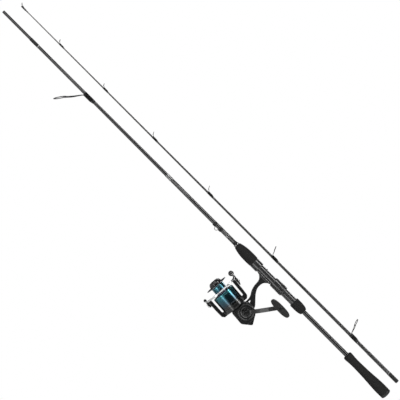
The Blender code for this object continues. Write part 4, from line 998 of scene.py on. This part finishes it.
bore = 1.0 + 0.026 + 0.15
cap = turned([(753.0, bore + 0.3), (752.6, bore + 0.5), (740.4, bore + 0.5), (740.0, bore + 0.3),
              (740.0, bore), (753.0, bore)], TIP_PLACE, 32)
centre = Vector((755.4, 0.0, TIP_AXIS + 3.7))
out = Vector((sin(radians(40.0)), 0.0, cos(radians(40.0))))
shapes = [cap, hoop(centre, 2.5, 0.4, 40.0, 1)]
for hand in (-1, 1):
    start = Vector((747.0, hand * 0.5, TIP_AXIS + bore + 0.3))
    end = centre - out * 2.5 * 0.2 + Vector((0.0, hand * 2.5 * 0.98, 0.0))
    shapes.append(swept(smooth_path([start, start.lerp(end, 0.55), end], 6), 0.4))
piece("tip_top_wire", shapes, guide_steel, "tip_section", "tip_top_frame")
piece("tip_top_ring", [hoop(centre, 2.5 - 0.4 - 0.15 - 0.35, 0.35, 40.0, 1, 14)], ring_ceramic, "tip_section",
      "tip_top_insert")

# %% [markdown]
# Short windings hold the hook keeper and guard the ends of the joint between the sections, where the tube
# would otherwise split.

# %% Plain windings
winding("keeper_winding_rear", "root", 131.0, 138.0, BUTT_STATIONS, lift=-1.2)
winding("keeper_winding_front", "root", 147.0, 154.0, BUTT_STATIONS, lift=-1.2)
winding("fore_winding", "root", 91.5, 96.5, BUTT_STATIONS)
winding("spigot_winding", "root", 671.0, 691.5, BUTT_STATIONS)
winding("socket_winding", "tip_section", -346.0, -323.0, ((-347.0, 3.95), (-262.0, 3.95)), TIP_AXIS)
winding("tip_top_winding", "tip_section", 734.0, 739.6, TIP_STATIONS, TIP_AXIS, thread=0.14)
bands = [sleeve(-322.4, -320.6, ((-347.0, 3.95), (-262.0, 3.95)), TIP_AXIS, 0.22)]
for values in TIP_GUIDES[:3]:
    bands.append(sleeve(values[1] - 5.4, values[1] - 4.2, TIP_STATIONS, TIP_AXIS, 0.18))
piece("tip_trim_bands", bands, trim_silver, "tip_section")

# %% [markdown]
# ## The reel body
# The foot, the stem and the gear case are one die casting, closed by a cover on the crank side and a cap at
# the tail. The castings keep their drawn shape, fused and softened; the cover's rim and screws are added on
# top.

# %% Body castings
put("reel_body_casting", cast([copied("reel_body")], 0.50, 6), body_paint, "root", "reel_body", sharp=60.0)
put("tail_cover_moulding", cast([copied("tail_cover")], 0.40, 6), rotor_paint, "root", "tail_cover",
    sharp=60.0)
put("side_cover_casting", cast([copied("side_cover")], 0.36, 5), body_paint, "root", "side_cover", sharp=60.0)
rim = [(-16.3, 0.0), (-16.3, 8.0), (-17.7, 8.0), (-18.7, 7.0), (-18.7, 4.4), (-18.1, 3.8), (-18.1, 0.0)]
piece("bearing_cap_cover", [turned(softened(rim, 0.5), DRIVE_AXIS, 64)], rotor_paint, "root", "bearing_cap")

# %% [markdown]
# The cover's small cross-slotted screws are drawn as plain turned heads, with no slot. Four of them hold the
# cover.

# %% Cover screws
head = turned(softened([(0.9, 0.0), (0.9, 0.9), (0.5, 1.6), (0.0, 1.6), (0.0, 0.0)], 0.2), ALONG_Y, 16)
SCREW_SPOTS = ((-7.2, 15.7, -9.6), (-13.6, 15.7, -10.2), (-8.0, 15.7, 19.0), (-40.4, 15.7, 8.0))
put("cover_screws", copies_at(head, SCREW_SPOTS, guide_steel, REEL), guide_steel, "root")

# %% [markdown]
# ## Crank
# The crank is a forged arm that bows outwards from its hub and carries a rubber paddle on a post.

# %% Crank arm, hub and screw
put("crank_arm_forging", cast([copied("handle_arm")], 0.36, 6), arm_paint, "drive", "handle_arm", sharp=60.0)
hub = [(26.9, 0.0), (26.9, 6.6), (25.7, 7.4), (22.4, 7.4), (21.6, 6.9), (20.8, 7.6), (18.3, 8.6), (18.3, 3.3),
       (24.3, 3.3), (24.3, 0.0)]
piece("crank_hub", [turned(softened(hub, 0.35), DRIVE_AXIS)], rotor_paint, "drive", "handle_hub")
cap = [(34.1, 0.0), (34.1, 1.5), (34.1, 3.4), (33.4, 4.0), (32.5, 4.0), (32.5, 0.0)]
piece("crank_screw_cap", [turned(softened(cap, 0.4), DRIVE_AXIS, 48)], guide_steel, "drive", "handle_screw")

# %% [markdown]
# The paddle is moulded rubber with ribs across its faces for wet fingers. The ribs are thin ridges of one
# length, four each side of the middle, laid on the paddle by the copying tree.

# %% Paddle
put("paddle_rubber", cast([copied("handle_knob")], 0.40, 8), knob_rubber, "knob", "handle_knob", sharp=60.0)
low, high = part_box("handle_knob")
middle = (low + high) / 2
rib = swept([Vector((0, 0, -4.2)), Vector((0, 0, 4.2))], 0.45, sides=8)
steps = (-15.5, -12.9, -10.3, -7.7, 7.7, 10.3, 12.9, 15.5)
spots = [(middle.x / MM + step, high.y / MM - 0.50, middle.z / MM) for step in steps]
put("paddle_ribs", copies_at(rib, spots, knob_rubber, HERE), knob_rubber, "knob")
low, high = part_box("knob_cap")
cap_place = at((low.x + high.x) / 2 / MM, 0.0, (low.z + high.z) / 2 / MM) @ ALONG_Y
top = high.y / MM
base = low.y / MM
cap = [(top, 0.0), (top, 3.4), (top - 0.7, 4.3), (base, 4.3), (base, 0.0)]
piece("paddle_cap", [turned(softened(cap, 0.4), cap_place, 48)], rotor_paint, "knob", "knob_cap")

# %% [markdown]
# ## Spool and drag
# The spool is turned from bar. Two fine grooves run round the skirt and the lip is rolled over, because
# line leaves the reel across that edge.

# %% Spool
outer = [(61.0, 11.8), (61.0, 20.4), (60.5, 24.35), (59.3, 24.35), (57.9, 15.0), (56.9, 14.0), (40.9, 14.0),
         (39.7, 23.4), (38.4, 24.75), (35.6, 24.75), (35.3, 24.4), (34.9, 24.4), (34.6, 24.75), (13.4, 24.75),
         (13.1, 24.4), (12.7, 24.4), (12.4, 24.75), (8.0, 24.75)]
inner = [(8.0, 23.25), (36.7, 23.25), (36.7, 6.0), (31.7, 6.0), (31.7, 2.8), (50.0, 2.8), (50.0, 11.8)]
piece("spool_turning", [turned(softened(outer, 0.5) + inner, REEL_AXIS, 128)], spool_dye_and_reflections, "spool", "spool")

# %% [markdown]
# The drag knob squeezes the washers under the spool. Its ribs and its bar give wet fingers a hold, and they
# are repeated round the axis by the ring tree.

# %% Drag knob
nose = [(69.2, 0.0), (69.2, 6.0), (70.0, 7.0), (69.3, 10.4), (67.0, 12.2), (64.5, 13.4), (61.3, 13.7),
        (61.3, 11.5), (58.2, 11.5), (58.2, 2.8), (66.5, 2.8), (66.5, 0.0)]
piece("drag_knob_moulding", [turned(softened(nose, 0.5), REEL_AXIS)], rotor_paint, "drag", "drag_knob")
rib = swept([Vector((61.7, 0, 0)), Vector((64.6, 0, -0.2)), Vector((67.2, 0, -1.6)), Vector((68.9, 0, -3.6))],
            (0.55, 0.35), sides=8)
put("drag_knob_ribs", ring_of(rib, 20, 13.6, rotor_paint, REEL), rotor_paint, "drag")
bar = slab([(68.6, -6.3), (70.0, -5.6), (70.0, 5.6), (68.6, 6.3)], -1.3, 1.3, REEL)
piece("drag_knob_bar", [bar], rotor_paint, "drag")

# %% [markdown]
# ## Rotor and bail
# The rotor turns round the spool with two arms that carry the bail. It is drawn as a turned cup with two
# slabs and then cast as one. The bail is a bent steel wire between a lever with the line roller and a plain
# holder.

# %% Rotor casting
SHOULDER = 7.7
ARM = [(-2.0, 18.0), (SHOULDER, 18.0), (SHOULDER, 27.1), (9.2, 28.6), (43.5, 29.4), (43.5, 36.3),
       (20.0, 35.7), (3.0, 34.7), (-2.0, 30.1)]
cup = turned([(34.0, 22.6), (SHOULDER, 22.6), (SHOULDER, 25.5), (0.0, 25.5), (-2.0, 23.5), (-2.0, 12.0),
              (4.0, 12.0),
              (4.0, 4.5), (13.0, 4.5), (13.0, 8.5), (7.5, 9.0), (7.5, 20.0), (8.5, 21.4), (34.0, 21.4)],
             REEL_AXIS, 160)
arms = []
for side in (1, -1):
    arms.append(slab([(u, side * w) for u, w in ARM], -8.0, 8.0, REEL))
put("rotor_casting", cast([cup] + arms, 0.45, 6), rotor_paint, "rotor", "rotor", sharp=60.0)

# %% [markdown]
# The bail turns on two screws, one through each arm of the rotor. The lower one is the upper one turned
# half a circle.

# %% Pivot screws
for name, side in (("pivot_screw_upper", 1), ("pivot_screw_lower", -1)):
    turn = HERE if side > 0 else Matrix.Rotation(pi, 4, "X")
    profile = [(42.1, 0.0), (42.1, 1.4), (42.7, 1.8), (42.7, 3.0), (42.0, 3.8), (41.1, 3.8), (41.1, 2.0),
               (30.6, 2.0), (30.6, 0.0)]
    piece(name + "_head", [turned(softened(profile, 0.25), REEL @ at(38.0, 0.0, 0.0) @ turn, 48)],
          bright_steel, "rotor", name)

# %% [markdown]
# The lever carries the line roller and the dark ball that guides line onto it. The wire leaves the ball,
# arches over the front of the spool and ends in the plain holder.

# %% Bail lever, holder and wire
put("bail_lever_casting", cast([copied("bail_arm")], 0.30, 5), rotor_paint, "bail", "bail_arm", sharp=60.0)
put("bail_holder_casting", cast([copied("bail_holder")], 0.30, 5), rotor_paint, "bail", "bail_holder",
    sharp=60.0)
BAIL = REEL @ at(38.0, 0.0, 0.0)
path = smooth_path([(20.4, 15.3, 38.8), (16.4, 20.9, 39.8), (11.4, 29.5, 37.0), (9.8, 38.5, 28.5),
                    (9.2, 45.0, 15.0),
                    (9.0, 47.0, 0.0), (9.0, 44.8, -14.0), (9.2, 39.0, -26.0), (9.8, 30.0, -34.6),
                    (11.2, 18.0, -38.6), (12.8, 6.4, -38.8)], 10)
piece("bail_wire_bend", [swept(path, 1.7, BAIL, 24)], bright_steel, "bail", "bail_wire")
piece("bail_ball", [ball((20.9, 12.3, 38.8), 5.8, BAIL)], rotor_paint, "bail")
roller = [(6.1, 4.2), (5.0, 4.5), (4.0, 3.5), (3.0, 4.5), (1.9, 4.2), (1.9, 1.8), (6.1, 1.8)]
piece("line_roller_turning", [turned(roller, BAIL @ at(20.9, 0.0, 38.8) @ ALONG_Y, 64)], bright_steel,
      "roller", "line_roller")

# %% [markdown]
# ## Hidden works
# Gears, bearings and shafts inside the reel are already the right shape. They keep their mesh and take the
# same metals, so a reel opened by a pose still looks real.

# %% Finishes for the works
WORKS = {
    "drive_bearing_left": bright_steel, "drive_bearing_right": bright_steel, "pinion_bearing": bright_steel,
    "one_way_clutch": bright_steel, "main_shaft": bright_steel, "rotor_nut": bright_steel,
    "drag_washers": bright_steel, "drive_gear": gear_brass, "oscillation_gear": gear_brass,
    "oscillation_slider": gear_brass, "pinion_gear": gear_brass,
}
for node, metal in WORKS.items():
    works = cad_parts[node]
    works.data.materials.clear()
    works.data.materials.append(metal)
print("works finished:", len(WORKS))

# %% [markdown]
# ## Studio
# The set is white all round, as for a catalogue. Long soft boxes draw one clean stripe along every tube:
# the key hangs above and in front, and a weaker box fills from below. The camera sees plain white, while
# reflections see a gentle grey room, so black paint stays black.

# %% Room and floor
world = bpy.data.worlds.new("studio")
bpy.context.scene.world = world
world.use_nodes = True
tree = world.node_tree
seen = tree.nodes["Background"]
seen.inputs["Color"].default_value = (1.0, 1.0, 1.0, 1.0)
felt = tree.nodes.new("ShaderNodeBackground")
felt.inputs["Color"].default_value = (0.060, 0.062, 0.065, 1.0)
path = tree.nodes.new("ShaderNodeLightPath")
pick = tree.nodes.new("ShaderNodeMixShader")
feed(tree, pick.inputs[0], path.outputs["Is Camera Ray"])
feed(tree, pick.inputs[1], felt.outputs[0])
feed(tree, pick.inputs[2], seen.outputs[0])
feed(tree, tree.nodes["World Output"].inputs["Surface"], pick.outputs[0])

sheet = bpy.data.materials.new("studio sheet")
sheet.use_nodes = True
tree = sheet.node_tree
shader = tree.nodes["Principled BSDF"]
shader.inputs["Roughness"].default_value = 0.9
feed(tree, shader.inputs["Base Color"],
     blend(tree, noise(tree, tree.nodes.new("ShaderNodeTexCoord").outputs["Object"],
     30.0), (0.72, 0.72, 0.72, 1.0), (0.78, 0.78, 0.78, 1.0)))
glow = tree.nodes.new("ShaderNodeEmission")
path = tree.nodes.new("ShaderNodeLightPath")
pick = tree.nodes.new("ShaderNodeMixShader")
feed(tree, pick.inputs[0], path.outputs["Is Camera Ray"])
feed(tree, pick.inputs[1], shader.outputs[0])
feed(tree, pick.inputs[2], glow.outputs[0])
feed(tree, tree.nodes["Material Output"].inputs["Surface"], pick.outputs[0])
floor_shape = bmesh.new()
bmesh.ops.create_grid(floor_shape, x_segments=4, y_segments=4, size=5.0)
bmesh.ops.translate(floor_shape, verts=floor_shape.verts, vec=(0.0, 0.0, -0.70))
floor = bpy.data.objects.new("floor", gathered([floor_shape], "floor"))
floor.data.materials.append(sheet)
bpy.context.scene.collection.objects.link(floor)

# %% [markdown]
# Black gloss paint is seen by what it mirrors. Two tall boxes at the sides put long highlights on the reel
# and the blank, and a box behind lifts their edges.

# %% Lights
def soft_box(name, place, aim, width, length, power):
    lamp = bpy.data.lights.new(name, "AREA")
    lamp.shape = "RECTANGLE"
    lamp.size = length
    lamp.size_y = width
    lamp.energy = power
    obj = bpy.data.objects.new(name, lamp)
    bpy.context.scene.collection.objects.link(obj)
    back = (Vector(place) - Vector(aim)).normalized()
    right = Vector((0.0, 0.0, 1.0)).cross(back).normalized()
    up = back.cross(right)
    obj.matrix_world = Matrix.Translation(place) @ Matrix((right, up, back)).transposed().to_4x4()
    return obj


soft_box("key", (0.2, 1.1, 1.75), (0.2, 0.0, 0.0), 0.45, 2.6, 34.0)
soft_box("fill", (0.2, 0.8, -0.62), (0.2, 0.0, 0.0), 0.20, 2.0, 4.0)
soft_box("back", (0.2, -1.4, 1.0), (0.2, 0.0, 0.0), 0.5, 2.0, 12.0)
soft_box("left wall", (-1.3, 1.0, 0.3), (0.05, 0.0, -0.08), 1.4, 1.8, 14.0)
soft_box("right wall", (1.4, 1.0, 0.3), (0.05, 0.0, -0.08), 1.4, 1.8, 14.0)
bpy.context.scene.view_settings.view_transform = "Standard"

# %% [markdown]
# The rod is drawn corner to corner, its tip up to the left, so the camera looks square at its side and is
# rolled by half a right angle.

# %% Camera
lens = bpy.data.cameras.new("camera")
lens.lens = 100.0
lens.sensor_width = 36.0
camera = bpy.data.objects.new("camera", lens)
bpy.context.scene.collection.objects.link(camera)
half = 0.5 ** 0.5
turn = Matrix(((-half, half, 0.0), (0.0, 0.0, 1.0), (half, half, 0.0))).to_4x4()
camera.matrix_world = Matrix.Translation((0.208, 2.3, 0.012)) @ turn
bpy.context.scene.camera = camera
